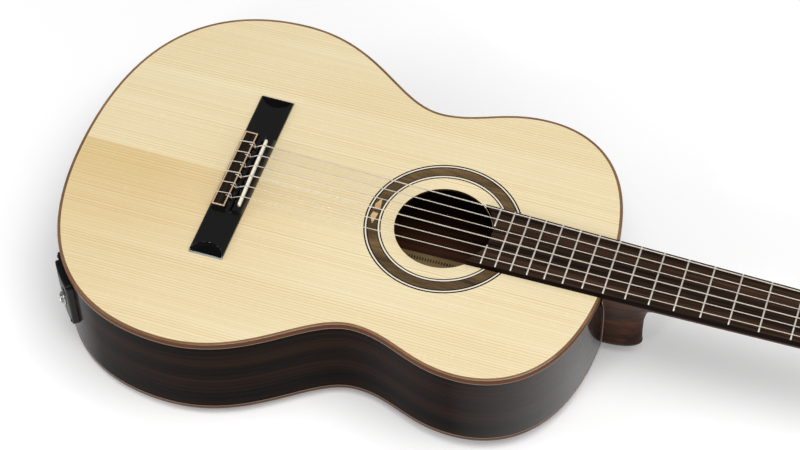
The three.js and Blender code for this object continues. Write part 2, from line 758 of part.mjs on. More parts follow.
const stringY = (i, spacing) => (i - (STRINGS.length - 1) / 2) * spacing;
const saddleX = (y) => SADDLE.x - Math.tan(THREE.MathUtils.degToRad(SADDLE.slant)) * y;

function slantedBox(halfThickness, halfLength, z0, z1) {
  return box([-halfThickness, halfThickness], [-halfLength, halfLength], [z0, z1])
    .rotateZ(THREE.MathUtils.degToRad(SADDLE.slant))
    .translate(SADDLE.x, 0, 0);
}

function bridge() {
  const { back, front, halfLength, wing } = BRIDGE;
  const wings = crosswise(
    [
      [back, BOARD_LOW],
      [front, BOARD_LOW],
      [front, 2.4],
      [front - 5, wing],
      [back + 5, wing],
      [back, 2.4],
    ],
    -halfLength,
    halfLength,
  );
  const middle = crosswise(
    [
      [back, BOARD_LOW],
      [front, BOARD_LOW],
      [front, 3],
      [front - 2.2, 7.2],
      [front - 9.6, 7.6],
      [front - 11.2, 3.2],
      [TIE_BLOCK.front, 3.2],
      [TIE_BLOCK.front, TIE_BLOCK.top],
      [TIE_BLOCK.back, TIE_BLOCK.top],
      [back, 4],
    ],
    -TIE_BLOCK.half,
    TIE_BLOCK.half,
  );
  const holes = STRINGS.map((_, i) =>
    toSolid(cylinder("x", 0.95, -360, -330, [stringY(i, SADDLE_SPACING), TIE_HOLE_Z], 8)),
  );
  const slot = slantedBox(SADDLE.thickness / 2 + 0.15, SADDLE.half + 0.2, 2.8, 30);
  return toGeometry(less(joined(toSolid(wings), toSolid(middle)), toSolid(slot), ...holes));
}
addMesh("bridge", bridge(), EBONY);
const saddleBlade = crosswise(
  [
    [-SADDLE.thickness / 2, 3],
    [SADDLE.thickness / 2, 3],
    [SADDLE.thickness / 2, SADDLE.top - 0.6],
    [0.5, SADDLE.top],
    [-0.3, SADDLE.top],
    [-SADDLE.thickness / 2, SADDLE.top - 1],
  ],
  -SADDLE.half,
  SADDLE.half,
);
saddleBlade.rotateZ(THREE.MathUtils.degToRad(SADDLE.slant)).translate(SADDLE.x, 0, 0);
addMesh("saddle", saddleBlade, BONE);

const TRIM_LOW = TIE_BLOCK.top + 0.1;
const TRIM_TOP = TRIM_LOW + 0.9;
const trimField = (grow, z0, z1) =>
  toSolid(
    box(
      [TIE_BLOCK.back - grow, TIE_BLOCK.front + grow],
      [-TIE_BLOCK.half - grow, TIE_BLOCK.half + grow],
      [z0, z1],
    ),
  );
addMesh(
  "tie_block_trim",
  toGeometry(trimField(0, TRIM_LOW, TRIM_TOP).subtract(trimField(-1.5, 0, 20))),
  MAPLE,
);

// ---------------------------------------------------------------- strings

// A path that runs straight between its points, so that a sweep keeps every one of them.
class PointPath extends THREE.Curve {
  constructor(points) {
    super();
    this.points = points;
  }
  getPoint(t) {
    const at = t * (this.points.length - 1);
    const i = Math.min(Math.floor(at), this.points.length - 2);
    return this.points[i].clone().lerp(this.points[i + 1], at - i);
  }
  getPointAt(u) {
    return this.getPoint(u);
  }
  getTangentAt(u) {
    const last = this.points.length - 1;
    const i = Math.round(u * last);
    const into = this.points[Math.max(i, 1)].clone().sub(this.points[Math.max(i, 1) - 1]);
    const out = this.points[Math.min(i + 1, last)].clone().sub(this.points[Math.min(i, last - 1)]);
    return into.normalize().add(out.normalize()).normalize();
  }
}

// Rounds each inner corner of a route with two points.
function rounded(route, reach) {
  const points = [route[0]];
  for (let i = 1; i + 1 < route.length; i++) {
    for (const other of [route[i - 1], route[i + 1]]) {
      const away = other.clone().sub(route[i]);
      points.push(route[i].clone().addScaledVector(away, reach / away.length()));
    }
  }
  points.push(route[route.length - 1]);
  return points;
}

const headPoint = (u, v, w) => new THREE.Vector3(u, v, w).applyMatrix4(HEAD_FRAME);

STRINGS.forEach(({ name, diameter }, i) => {
  const radius = diameter / 2;
  const yBridge = stringY(i, SADDLE_SPACING);
  const yNut = stringY(i, NUT_SPACING);
  const side = Math.sign(yNut);
  const machine = Math.min(i, STRINGS.length - 1 - i);
  const over = TRIM_TOP + radius + 0.2;
  const behind = TIE_BLOCK.back - radius - 1.4;
  const onRoller = headPoint(
    ROLLER_U[machine] - 1,
    side * (18.5 - 3.5 * machine),
    ROLLER_W + ROLLER_RADIUS + radius + 0.2,
  );
  const route = [
    new THREE.Vector3(TIE_BLOCK.front - 0.6, yBridge, over),
    new THREE.Vector3(behind, yBridge, over),
    new THREE.Vector3(behind, yBridge, TIE_HOLE_Z),
    new THREE.Vector3(TIE_BLOCK.front + 0.8, yBridge, TIE_HOLE_Z),
    new THREE.Vector3(saddleX(yBridge), yBridge, SADDLE.top + radius + 0.45),
    new THREE.Vector3(NUT_X + 1.6, yNut, NUT_TOP + radius + 0.35),
    onRoller,
  ];
  const path = new PointPath(rounded(route, 0.9));
  const section = new THREE.Shape(
    Array.from({ length: STRING_SIDES }, (_, k) => {
      const angle = (k / STRING_SIDES) * 2 * Math.PI;
      return new THREE.Vector2(radius * Math.cos(angle), radius * Math.sin(angle));
    }),
  );
  const tube = new THREE.ExtrudeGeometry(section, {
    steps: path.points.length - 1,
    extrudePath: path,
    bevelEnabled: false,
  });
  addMesh(name, tube, i < 3 ? NYLON : WOUND);
});

// ---------------------------------------------------------------- jack plate, drawer, battery, jack

function roundedRectangle(y0, y1, z0, z1, radius) {
  const shape = new THREE.Shape();
  shape.absarc(y1 - radius, z0 + radius, radius, -Math.PI / 2, 0);
  shape.absarc(y1 - radius, z1 - radius, radius, 0, Math.PI / 2);
  shape.absarc(y0 + radius, z1 - radius, radius, Math.PI / 2, Math.PI);
  shape.absarc(y0 + radius, z0 + radius, radius, Math.PI, (3 * Math.PI) / 2);
  return shape;
}

// A shape in Y and Z of the rib's frame, drawn outwards from X `from` to `to`.
function outwards(shape, from, to) {
  const turn = new THREE.Matrix4().makeBasis(
    new THREE.Vector3(0, 1, 0),
    new THREE.Vector3(0, 0, 1),
    new THREE.Vector3(1, 0, 0),
  );
  const made = new THREE.ExtrudeGeometry(shape, {
    depth: to - from,
    bevelEnabled: false,
    curveSegments: 4,
  });
  return onRib(made.applyMatrix4(turn).translate(from, 0, 0));
}

const { from, to, bottom, top, corner } = PLATE;
const SLEEVE_DEPTH = -BATTERY.length - 4;
const WALL = 1.2;

// A layer that follows the rib's outside, seen through a window in the plate's frame.
const ribLayer = (low, high, window) =>
  ring(-high, -low, -130, 20).intersect(outwards(window, -15, 20));
const inside = (out) => toSolid(prism(fullOutline(-out), -130, 20));
const frontWindow = (grow) =>
  roundedRectangle(
    DRAWER.y - SLEEVE_HALF.y - grow,
    DRAWER.y + SLEEVE_HALF.y + grow,
    DRAWER.z - SLEEVE_HALF.z - 0.8 - grow,
    DRAWER.z + SLEEVE_HALF.z + 0.8 + grow,
    2.5,
  );

const flange = ribLayer(GLUE_LINE, FLANGE_FACE, roundedRectangle(from, to, bottom, top, corner));
const raised = ribLayer(
  FLANGE_FACE - 0.5,
  RAISED_FACE,
  roundedRectangle(RAISED_FROM, to, bottom, top, corner),
).subtract(outwards(frontWindow(0.3), -15, 20));
const sleeve = drawerBox(0, SLEEVE_DEPTH, 5).intersect(inside(FLANGE_FACE));
addMesh(
  "jack_plate",
  toGeometry(
    less(joined(flange, raised, sleeve), drawerBox(-WALL, SLEEVE_DEPTH - 5, 20), jackHole),
  ),
  BLACK_PLASTIC,
);

const DRAWER_HALF = { y: SLEEVE_HALF.y - WALL - 0.3, z: SLEEVE_HALF.z - WALL - 0.3 };
const drawerShell = onRib(
  box(
    [SLEEVE_DEPTH + 1, 5],
    [DRAWER.y - DRAWER_HALF.y, DRAWER.y + DRAWER_HALF.y],
    [DRAWER.z - DRAWER_HALF.z, DRAWER.z + DRAWER_HALF.z],
  ),
).intersect(inside(RAISED_FACE - 1));
const drawerRoom = onRib(
  box(
    [SLEEVE_DEPTH + 1.8, -1.5],
    [DRAWER.y - DRAWER_HALF.y + 0.6, DRAWER.y + DRAWER_HALF.y - 0.6],
    [DRAWER.z - DRAWER_HALF.z + 0.8, DRAWER.z + DRAWER_HALF.z + 5],
  ),
);
const drawerFront = ribLayer(FLANGE_FACE + 0.3, RAISED_FACE + 0.2, frontWindow(0));
addMesh(
  "battery_drawer",
  toGeometry(joined(less(drawerShell, drawerRoom), drawerFront)),
  BLACK_PLASTIC,
);

const batteryLow = DRAWER.z - DRAWER_HALF.z + 0.8 + GLUE_LINE;
addMesh(
  "battery",
  toGeometry(
    onRib(
      box(
        [SLEEVE_DEPTH + 2, SLEEVE_DEPTH + 2 + BATTERY.length],
        [DRAWER.y - BATTERY.width / 2, DRAWER.y + BATTERY.width / 2],
        [batteryLow, batteryLow + BATTERY.thickness],
      ),
    ),
  ),
  BATTERY_SKIN,
);

function outputJack() {
  const section = [
    [JACK.bore, -22],
    [6.8, -22],
    [6.8, -5.5],
    [4.5, -5.5],
    [4.5, JACK.end],
    [JACK.bore, JACK.end],
    [JACK.bore, -22],
  ].map(([r, x]) => new THREE.Vector2(r, x));
  const barrel = new THREE.LatheGeometry(section, 18).rotateZ(-Math.PI / 2);
  barrel.translate(0, JACK.y, JACK.z);
  const hexagon = cylinder("x", 6.4, RAISED_FACE + 0.1, RAISED_FACE + 2.2, [JACK.y, JACK.z], 6);
  const bore = cylinder("x", 4, -30, 30, [JACK.y, JACK.z], 16);
  return toGeometry(joined(onRib(barrel), less(onRib(hexagon), onRib(bore))));
}
addMesh("output_jack", outputJack(), NICKEL);

// ---------------------------------------------------------------- the frame of the finished part

guitar.updateMatrixWorld(true);
const bounds = new THREE.Box3().setFromObject(guitar, true);
const middle = bounds.getCenter(new THREE.Vector3());
guitar.position.set(-middle.x, -middle.y, -bounds.min.z);

export default guitar;
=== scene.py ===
"""A classical guitar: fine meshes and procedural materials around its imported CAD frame.

Pieces are drawn in a luthier's frame, in millimetres: x along the strings from the body joint
towards the head, y across towards the bass side, z out of the soundboard's face. make() turns
them into the row frame, in metres.
"""

import json
import math

import bmesh
import bpy
from mathutils import Matrix, Vector


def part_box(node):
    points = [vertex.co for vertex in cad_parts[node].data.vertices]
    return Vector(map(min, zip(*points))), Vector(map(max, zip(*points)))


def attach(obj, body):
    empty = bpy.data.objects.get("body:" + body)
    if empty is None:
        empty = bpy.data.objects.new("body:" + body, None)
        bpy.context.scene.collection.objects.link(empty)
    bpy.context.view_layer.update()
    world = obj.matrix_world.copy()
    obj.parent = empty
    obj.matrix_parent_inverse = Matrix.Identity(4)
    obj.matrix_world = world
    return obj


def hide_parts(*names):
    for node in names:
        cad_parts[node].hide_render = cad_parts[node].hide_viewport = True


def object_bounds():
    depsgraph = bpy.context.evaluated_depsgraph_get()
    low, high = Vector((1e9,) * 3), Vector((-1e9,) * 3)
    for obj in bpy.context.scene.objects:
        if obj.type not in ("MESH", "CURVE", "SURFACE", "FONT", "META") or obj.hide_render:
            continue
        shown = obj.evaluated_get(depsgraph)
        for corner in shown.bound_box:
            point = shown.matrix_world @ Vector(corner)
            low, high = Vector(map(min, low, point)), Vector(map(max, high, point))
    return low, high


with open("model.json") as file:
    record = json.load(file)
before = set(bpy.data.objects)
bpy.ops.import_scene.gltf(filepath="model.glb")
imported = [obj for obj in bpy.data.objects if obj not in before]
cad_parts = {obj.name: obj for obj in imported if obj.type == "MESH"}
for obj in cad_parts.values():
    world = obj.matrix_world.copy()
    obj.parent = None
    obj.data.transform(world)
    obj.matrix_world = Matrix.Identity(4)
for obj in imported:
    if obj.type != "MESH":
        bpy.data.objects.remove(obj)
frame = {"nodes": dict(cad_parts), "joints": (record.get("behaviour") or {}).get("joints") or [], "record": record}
CAD_LOW, CAD_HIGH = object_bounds()

# ---------------------------------------------------------------- sizes, mm

MM = 0.001
BINDING_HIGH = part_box("top_binding")[1]
ORIGIN = Vector((BINDING_HIGH[0], 0, BINDING_HIGH[2]))
TO_ROW = Matrix.Translation(ORIGIN) @ Matrix.Scale(MM, 4)
TO_LUTHIER = TO_ROW.inverted()


def row_x(*places):
    """Places along the strings, turned into the row frame's x."""
    return [(TO_ROW @ Vector((x, 0, 0))).x for x in places]


SCALE_LENGTH = 650
NUT_X = SCALE_LENGTH / 2
BODY_LENGTH = 490
OUTLINE = [  # x, half width, heading, handle before, handle after
    (-BODY_LENGTH, 0, (0, 1), 0, 156.5),
    (-343.5, 185.3, (1, 0), 59.7, 76.2),
    (-192, 122.8, (1, 0), 42.3, 34),
    (-97, 144.7, (1, 0), 42.2, 40),
    (0, 0, (0, -1), 121, 0),
]
OUTLINE_STEPS = 36

DEPTH_AT_TAIL = 107.5
DEPTH_AT_NECK = 95
BACK_ARCH = 1.1e-4
BACK_STRIP = 9
TOP_THICKNESS = 2.5
BACK_THICKNESS = 2.6
BINDING_WIDTH = 2.8
TOP_BINDING = 6
BACK_BINDING = 5

HOLE_X = -151.3
HOLE_RADIUS = 43
ROSETTE_IN = 54.8
ROSETTE_OUT = 69.8
BAND_OUT = 66.1
BAND_IN = 58.1
CIRCLE_STEPS = 128

BOARD_AT_NUT = 24
BOARD_AT_JOINT = 29.7
BOARD_TOP = 6.3
FRET_SINK = 0.4
BOARD_END_RADIUS = 43.2
FRETS = 19

BRIDGE_BACK = -353.2
BRIDGE_FRONT = -322.6
BRIDGE_HALF = 92.4
WING_HEIGHT = 3.4
TIE_BACK = -350.6
TIE_FRONT = -338.8
TIE_HALF = 42.6
TIE_TOP = 8.2
TRIM_TOP = 9.2
TIE_HOLE_Z = 5.2
SADDLE_X = -327.9
SADDLE_HALF = 38
SADDLE_TOP = 11.2
SADDLE_SLANT = math.radians(1.6)
NUT_TOP = 7.6
NUT_LENGTH = 6.1

STRINGS = [  # node, diameter, wound
    ("string_1_e", 0.72, False),
    ("string_2_b", 0.82, False),
    ("string_3_g", 1.02, False),
    ("string_4_d", 0.76, True),
    ("string_5_a", 0.9, True),
    ("string_6_e", 1.1, True),
]
FIRST_TURN = 0.9  # how much of a string's winding stays with it
FIRST_PITCH = 1.15
SADDLE_SPACING = 11.9
NUT_SPACING = 8

HEAD_HALF = 34
HEAD_LENGTH = 188
HEAD_THICKNESS = 20
VENEER = 2
HEAD_SLOT = (27, 146, 7.5, 22.5)
ROLLER_U = (57, 92, 127)
ROLLER_W = -9
ROLLER_RADIUS = 5
PLATE_FACE = HEAD_HALF + 1.4
GEAR_TEETH = 14
GEAR_TIP = 6.6
GEAR_ROOT = 5.2
GEAR_V = 36.8
GEAR_WIDTH = 3
WORM_OFFSET = 8.1
WORM_V = 38.3
WORM_PITCH = math.pi * (GEAR_TIP + GEAR_ROOT) / GEAR_TEETH

# ---------------------------------------------------------------- frames of the head and of the plate

# the head: u away from the nut, v across, w out of its face
JOINTS = {joint["name"]: joint for joint in frame["joints"]}
KNOB_AXIS = Vector(JOINTS["knob_turn_1"]["axis"]).normalized()
HEAD_TILT = math.atan2(KNOB_AXIS.x, KNOB_AXIS.z)
HEAD = Matrix.Translation((NUT_X + NUT_LENGTH, 0, 0)) @ Matrix.Rotation(HEAD_TILT, 4, "Y")

# the plate on the treble rib: X out of the rib, Y along it towards the neck, Z up
MOUNTS = {mount["name"]: mount for mount in frame["record"]["mounts"]}
SOCKET = MOUNTS["jack_socket"]
OUT = Vector(SOCKET["axis"]).normalized()
SOCKET_PLACE = TO_LUTHIER @ Vector(SOCKET["pos_m"])
OUTWARD = Matrix(((OUT.x, -OUT.y, 0, 0), (OUT.y, OUT.x, 0, 0), (0, 0, 1, 0), (0, 0, 0, 1)))
JACK_END = 9
JACK_Y = 4
JACK = Matrix.Translation(SOCKET_PLACE) @ OUTWARD @ Matrix.Translation((-JACK_END, 0, 0))
RIB = JACK @ Matrix.Translation((0, -JACK_Y, -SOCKET_PLACE.z))
DRAWER_Y = 3.8
DRAWER_Z = -24.3
SLEEVE = (16.3, 12)
PLAY = 0.3
JACK_HOLE = 4.8

# ---------------------------------------------------------------- shader nodes


def srgb(red, green, blue):
    """A colour given as screen values of 0 to 255, made linear."""
    return tuple(((v / 255 + 0.055) / 1.055) ** 2.4 for v in (red, green, blue)) + (1,)


class Shader:
    """A material and short names for the nodes it is made of."""

    def __init__(self, name, roughness=0.4, metallic=0.0, coat=0.0, coat_roughness=0.05):
        self.material = bpy.data.materials.new(name)
        self.material.use_nodes = True
        self.tree = self.material.node_tree
        self.surface = self.tree.nodes["Principled BSDF"]
        self.put("Roughness", roughness)
        self.put("Metallic", metallic)
        self.put("Coat Weight", coat)
        self.put("Coat Roughness", coat_roughness)
        self.place = self.node("ShaderNodeTexCoord").outputs["Object"]

    def feed(self, node, socket, value):
        """Sets or links one input of a node."""
        if isinstance(value, bpy.types.NodeSocket):
            self.tree.links.new(value, node.inputs[socket])
        else:
            node.inputs[socket].default_value = value

    def put(self, socket, value):
        self.feed(self.surface, socket, value)

    def node(self, kind, values=(), **settings):
        made = self.tree.nodes.new(kind)
        for key, value in settings.items():
            setattr(made, key, value)
        for key, value in dict(values).items():
            self.feed(made, key, value)
        return made

    def math(self, operation, a, b=0.0):
        return self.node("ShaderNodeMath", {0: a, 1: b}, operation=operation).outputs[0]

    def product(self, a, b):
        return self.math("MULTIPLY", a, b)

    def wave(self, place, pitch):
        """A sine wave along a place."""
        return self.math("SINE", self.product(place, 2 * math.pi / pitch))

    def stretched(self, scale, source=None):
        """The place, scaled by a different amount along each axis."""
        values = {0: source or self.place, 1: scale}
        return self.node("ShaderNodeVectorMath", values, operation="MULTIPLY").outputs[0]

    def noise(self, scale, detail=3.0, roughness=0.55, distortion=0.0, source=None):
        values = {
            "Vector": self.stretched(scale, source),
            "Scale": 1.0,
            "Detail": detail,
            "Roughness": roughness,
            "Distortion": distortion,
        }
        return self.node("ShaderNodeTexNoise", values).outputs["Fac"]

    def ramp(self, factor, *stops):
        """A colour ramp from (position, colour) stops."""
        made = self.node("ShaderNodeValToRGB", {"Fac": factor})
        band = made.color_ramp
        while len(band.elements) < len(stops):
            band.elements.new(0.5)
        for element, (position, colour) in zip(band.elements, stops):
            element.position = position
            element.color = colour
        return made.outputs["Color"]

    def curve(self, factor, low, high, to_low=0.0, to_high=1.0):
        """A number moved from one range to another, and kept inside it."""
        values = {0: factor, 1: low, 2: high, 3: to_low, 4: to_high}
        return self.node("ShaderNodeMapRange", values).outputs[0]

    def mix(self, factor, a, b, how="MIX"):
        values = {0: factor, 6: a, 7: b}
        return self.node("ShaderNodeMix", values, data_type="RGBA", blend_type=how).outputs[2]

    def bump(self, height, depth, strength):
        values = {"Height": height, "Distance": depth, "Strength": strength}
        self.put("Normal", self.node("ShaderNodeBump", values).outputs["Normal"])

    def split(self):
        return self.node("ShaderNodeSeparateXYZ", {0: self.place}).outputs

    def join(self, x, y, z):
        return self.node("ShaderNodeCombineXYZ", {0: x, 1: y, 2: z}).outputs[0]


# ---------------------------------------------------------------- materials, m

RING_PITCH = 0.0028
DARK_SPRUCE = (0.89, 0.79, 0.62, 1)
SILK = (1, 0.95, 0.82, 1)
TAIL_SHADE = row_x(-420, -250)
# where the ribs' painted reflection rises, towards the neck and towards the tail
PAINTED_SHEEN_AT_NECK = row_x(-100, -25)
PAINTED_SHEEN_AT_TAIL = row_x(-410, -475)
WINDING_PITCH = 0.0003
LABEL_MARGIN = 0.006
DOT_ROW = 0.0016
DOT_PITCH = 0.0026
RULES_MARGIN = 0.013
RULE_PITCH = 0.0055
RULE_HALF = 0.0004


def spruce(name, light, dark):
    """Quarter-sawn spruce with its grain along x, bookmatched about y = 0."""
    shader = Shader(name, 0.42, coat=0.8, coat_roughness=0.12)
    x, y, z = shader.split()
    across = shader.math("ABSOLUTE", y)
    wander = shader.product(shader.noise((1.6, 5, 1), 2), 0.01)
    leaning = shader.math("ADD", across, wander)
    grain_place = shader.join(x, leaning, z)
    lines = shader.noise((1.6, 560, 20), 3, 0.62, source=grain_place)
    phase = shader.product(leaning, 2 * math.pi / RING_PITCH)
    unevenness = shader.product(shader.noise((0.6, 120, 6), 2, source=grain_place), 8)
    rings = shader.math("SINE", shader.math("ADD", phase, unevenness))
    strength = shader.curve(shader.noise((0.9, 90, 4), 3, source=grain_place), 0.3, 0.7, 0.25, 0.85)
    bands = shader.noise((0.9, 42, 3), 3, 0.5, source=grain_place)
    silk = shader.noise((420, 90, 20), 2, 0.5, source=grain_place)
    clouds = shader.noise((7, 9, 3), 2)
    grain = shader.curve(lines, 0.38, 0.7)
    ringed = shader.product(shader.curve(rings, -0.1, 1), strength)
    ringed = shader.math("MAXIMUM", shader.product(grain, 0.4), ringed)
    tone = shader.mix(ringed, light, dark)
    band_tone = shader.mix(shader.curve(bands, 0.4, 0.72, 0, 0.16), tone, dark)
    cloud_tone = shader.mix(shader.curve(clouds, 0.35, 0.75, 0, 0.16), band_tone, dark)
    silky = shader.mix(shader.curve(silk, 0.55, 0.8, 0, 0.14), cloud_tone, SILK)
    # the treble half was cut a little darker towards its lower end
    treble = shader.curve(y, -0.0006, 0.0006, 1, 0)
    tailward = shader.curve(x, *TAIL_SHADE, 1, 0)
    inward = shader.curve(y, -0.12, -0.02, 0.4, 1)
    shade = shader.product(shader.product(treble, tailward), inward)
    shader.put("Base Color", shader.mix(shade, silky, DARK_SPRUCE, "MULTIPLY"))
    shader.put("Roughness", shader.curve(lines, 0.3, 0.7, 0.36, 0.5))
    shader.bump(lines, 0.00006, 0.5)
    return shader.material


def streaked_wood(name, light, dark, stretch, coat=0.0, roughness=0.4, contrast=1.0, pores=0.5,
                  mirrored=False, coat_roughness=0.06, bump=0.00008, specular=0.3, painted_sheen_at_ends=None):
    """Wood with long streaks; stretch is small along the grain and large across it. Given a coat weight for
    the ends, the coat rises by place towards the body's two ends: a painted reflection."""
    light, dark = srgb(*light), srgb(*dark)
    shader = Shader(name, roughness, coat=coat, coat_roughness=coat_roughness)
    shader.put("Specular IOR Level", specular)
    source = shader.place
    if mirrored:
        x, y, z = shader.split()
        source = shader.join(x, shader.math("ABSOLUTE", y), z)
    wide = shader.noise(tuple(v * 0.13 for v in stretch), 3, 0.5, 0.6, source)
    fine = shader.noise(stretch, 4, 0.62, 0.15, source)
    hair = shader.noise(tuple(v * 3.2 for v in stretch), 2, 0.5, 0, source)
    mixed = shader.math("ADD", shader.product(wide, 0.55), shader.product(fine, 0.45))
    tone = shader.ramp(
        shader.curve(mixed, 0.5 - 0.17 / contrast, 0.5 + 0.17 / contrast),
        (0.0, dark),
        (0.55, tuple(0.55 * d + 0.45 * l for d, l in zip(dark, light))),
        (1.0, light),
    )
    pore = shader.curve(hair, 0.6, 0.72, 0, pores)
    shader.put("Base Color", shader.mix(pore, tone, tuple(v * 0.35 for v in dark[:3]) + (1,)))
    shader.put("Roughness", shader.curve(fine, 0.3, 0.7, roughness - 0.06, roughness + 0.08))
    shader.bump(shader.math("SUBTRACT", fine, pore), bump, 0.5)
    # painted reflection: the coat weight rises by place towards the body's two ends, standing in for their
    # brighter glancing reflection
    if painted_sheen_at_ends:
        x = shader.split()[0]
        neckward = shader.curve(x, *PAINTED_SHEEN_AT_NECK, coat, painted_sheen_at_ends)
        tailward = shader.curve(x, *PAINTED_SHEEN_AT_TAIL, coat, painted_sheen_at_ends)
        shader.put("Coat Weight", shader.math("MAXIMUM", neckward, tailward))
    return shader.material


def speckled(name, colour, other, scale, roughness, metallic=0.0, coat=0.0, bump=0.00002, amount=0.35,
             specular=0.5, clear=0.0):
    """A nearly even surface: bone, plastic or metal with a fine change of tone and polish."""
    shader = Shader(name, roughness, metallic, coat)
    shader.put("Transmission Weight", clear)
    shader.put("Specular IOR Level", specular)
    cloud = shader.noise((scale, scale, scale), 4)
    fine = shader.noise((14 * scale, 14 * scale, 14 * scale), 3)
    tone = shader.curve(cloud, 0.3, 0.75, 0, amount)
    shader.put("Base Color", shader.mix(tone, srgb(*colour), srgb(*other)))
    shader.put("Roughness", shader.curve(fine, 0.3, 0.7, roughness * 0.8, min(1.0, roughness * 1.3)))
    shader.bump(fine, bump, 0.4)
    return shader.material


def wound(name):
    """Silvered wire wound tightly round a core: fine ridges across the string."""
    shader = Shader(name, 0.28, 0.6)
    x = shader.split()[0]
    ridges = shader.wave(x, WINDING_PITCH)
    tarnish = shader.noise((60, 400, 400), 3)
    tone = shader.mix(shader.curve(tarnish, 0.35, 0.75, 0, 0.5), srgb(236, 226, 212), srgb(206, 192, 172))
    shader.put("Base Color", tone)
    shader.bump(ridges, 0.00003, 0.35)
    return shader.material


def label_paper(name, low, high):
    """Aged paper with a row of dots inside its edges and a few plain ruled lines."""
    shader = Shader(name, 0.75)
    x, y = shader.split()[:2]
    paper = shader.noise((60, 60, 60), 4)
    base = shader.mix(shader.curve(paper, 0.3, 0.7, 0, 0.4), srgb(146, 120, 78), srgb(114, 90, 54))
    edge_y = shader.math("SUBTRACT", high.y, shader.math("ABSOLUTE", y))
    middle = (low.x + high.x) / 2
    from_middle = shader.math("ABSOLUTE", shader.math("SUBTRACT", x, middle))
    edge_x = shader.math("SUBTRACT", (high.x - low.x) / 2, from_middle)
    edge = shader.math("MINIMUM", edge_x, edge_y)
    row = shader.math("ABSOLUTE", shader.math("SUBTRACT", edge, LABEL_MARGIN))
    in_row = shader.math("LESS_THAN", row, DOT_ROW)
    along = shader.math("LESS_THAN", edge_y, edge_x)
    wave = shader.mix(along, shader.wave(y, DOT_PITCH), shader.wave(x, DOT_PITCH))
    dots = shader.product(shader.math("GREATER_THAN", wave, 0.0), in_row)
    ruled = shader.math("LESS_THAN", shader.math("PINGPONG", y, RULE_PITCH), RULE_HALF)
    inside = shader.math("GREATER_THAN", edge, RULES_MARGIN)
    marks = shader.math("MAXIMUM", dots, shader.product(ruled, inside))
    shader.put("Base Color", shader.mix(marks, base, srgb(35, 28, 22)))
    shader.bump(paper, 0.00005, 0.4)
    return shader.material


SPRUCE = spruce("spruce", srgb(240, 226, 188), srgb(216, 188, 132))
INNER_SPRUCE = streaked_wood("inner_spruce", (205, 180, 132), (170, 140, 92), (4, 260, 260),
                             roughness=0.65, pores=0.1)
# the ribs: dark rosewood, painted darker than the back's rosewood as the shade on the sides
RIB_ROSEWOOD_SHADED = streaked_wood("rib_rosewood_painted_shade", (42, 24, 15), (3, 2, 1), (5, 5, 330), coat=0.03, roughness=0.3,
                         contrast=1.4, coat_roughness=0.05, specular=0.02, painted_sheen_at_ends=0.7)
BACK_INSIDE = streaked_wood("back_inside", (92, 52, 26), (18, 9, 5), (5, 240, 60), roughness=0.6,
                            contrast=1.5, mirrored=True)
BACK_WOOD = streaked_wood("back_rosewood", (92, 52, 34), (18, 9, 7), (5, 200, 60), coat=0.45,
                          roughness=0.3, contrast=1.4, mirrored=True, specular=0.1)
HEAD_WOOD = streaked_wood("head_rosewood", (66, 42, 30), (16, 9, 7), (5, 330, 60), coat=0.7,
                          roughness=0.3, contrast=1.2, specular=0.1)
BINDING_SIDE = streaked_wood("binding_wood", (112, 66, 32), (64, 34, 14), (14, 14, 420), coat=0.1,
                             roughness=0.3, pores=0.2, specular=0.1)
BINDING_FACE = streaked_wood("binding_face", (146, 110, 76), (108, 78, 50), (60, 60, 60), coat=0.5,
                             roughness=0.35, pores=0.1, specular=0.2)
PURFLING = streaked_wood("purfling_light", (152, 126, 98), (122, 96, 72), (60, 60, 60), coat=0.4,
                         roughness=0.35, pores=0.1, specular=0.2)
MAHOGANY = streaked_wood("mahogany", (88, 50, 28), (26, 13, 7), (6, 330, 330), coat=0.03,
                         roughness=0.38, contrast=1.3, coat_roughness=0.2, specular=0.05)
BOARD_WOOD = streaked_wood("fingerboard_rosewood", (72, 50, 37), (18, 13, 11), (9, 520, 520),
                           roughness=0.45, contrast=1.4, pores=0.7, specular=0.06)
# the board's sides: its rosewood painted near-black, as the shade along them
BOARD_EDGE_SHADE = streaked_wood("fingerboard_edge_shade", (26, 15, 11), (9, 5, 4), (9, 420, 420), roughness=0.5,
                           specular=0.03)
EBONY = streaked_wood("ebony", (9, 9, 8), (3, 3, 3), (260, 14, 260), coat=0.6, roughness=0.33,
                      coat_roughness=0.08, pores=0.3, bump=0.00001, specular=0.1)
# the bridge's scoops: rougher ebony without coat, a little darker as painted shade in the hollows
EBONY_SCOOP_SHADE = streaked_wood("ebony_matt_scoop_shade", (7, 7, 7), (3, 3, 3), (260, 14, 260), roughness=0.6,
                           specular=0.06)
TRIM_WOOD = streaked_wood("trim_wood", (206, 174, 140), (178, 144, 112), (260, 10, 260), coat=0.4,
                          roughness=0.35, pores=0.1)
INLAY_WOOD = streaked_wood("tie_block_inlay", (56, 42, 27), (8, 6, 5), (500, 12, 500), coat=0.15,
                           roughness=0.35, contrast=1.3, specular=0.1)
BAND_WOOD = streaked_wood("rosette_band", (122, 98, 62), (54, 40, 24), (40, 260, 40), coat=0.3,
                          roughness=0.4, pores=0.4, specular=0.15)
RING_WHITE = speckled("rosette_white", (240, 232, 214), (214, 200, 174), 300, 0.35, coat=0.8)
RING_DARK = speckled("rosette_dark", (24, 18, 14), (12, 9, 7), 300, 0.35, coat=0.3, specular=0.15)
MOTIF_WOOD = streaked_wood("rosette_motif", (222, 190, 140), (190, 150, 102), (60, 260, 60), coat=0.8,
                           roughness=0.4, pores=0.1)
BONE = speckled("bone", (244, 238, 222), (226, 214, 186), 160, 0.32, coat=0.3)
NYLON = speckled("nylon", (246, 238, 220), (230, 220, 198), 90, 0.2, coat=0.3, clear=0.4)
WOUND = wound("wound_string")
FRET_METAL = speckled("fret_metal", (232, 226, 214), (204, 198, 186), 240, 0.3, 0.5)
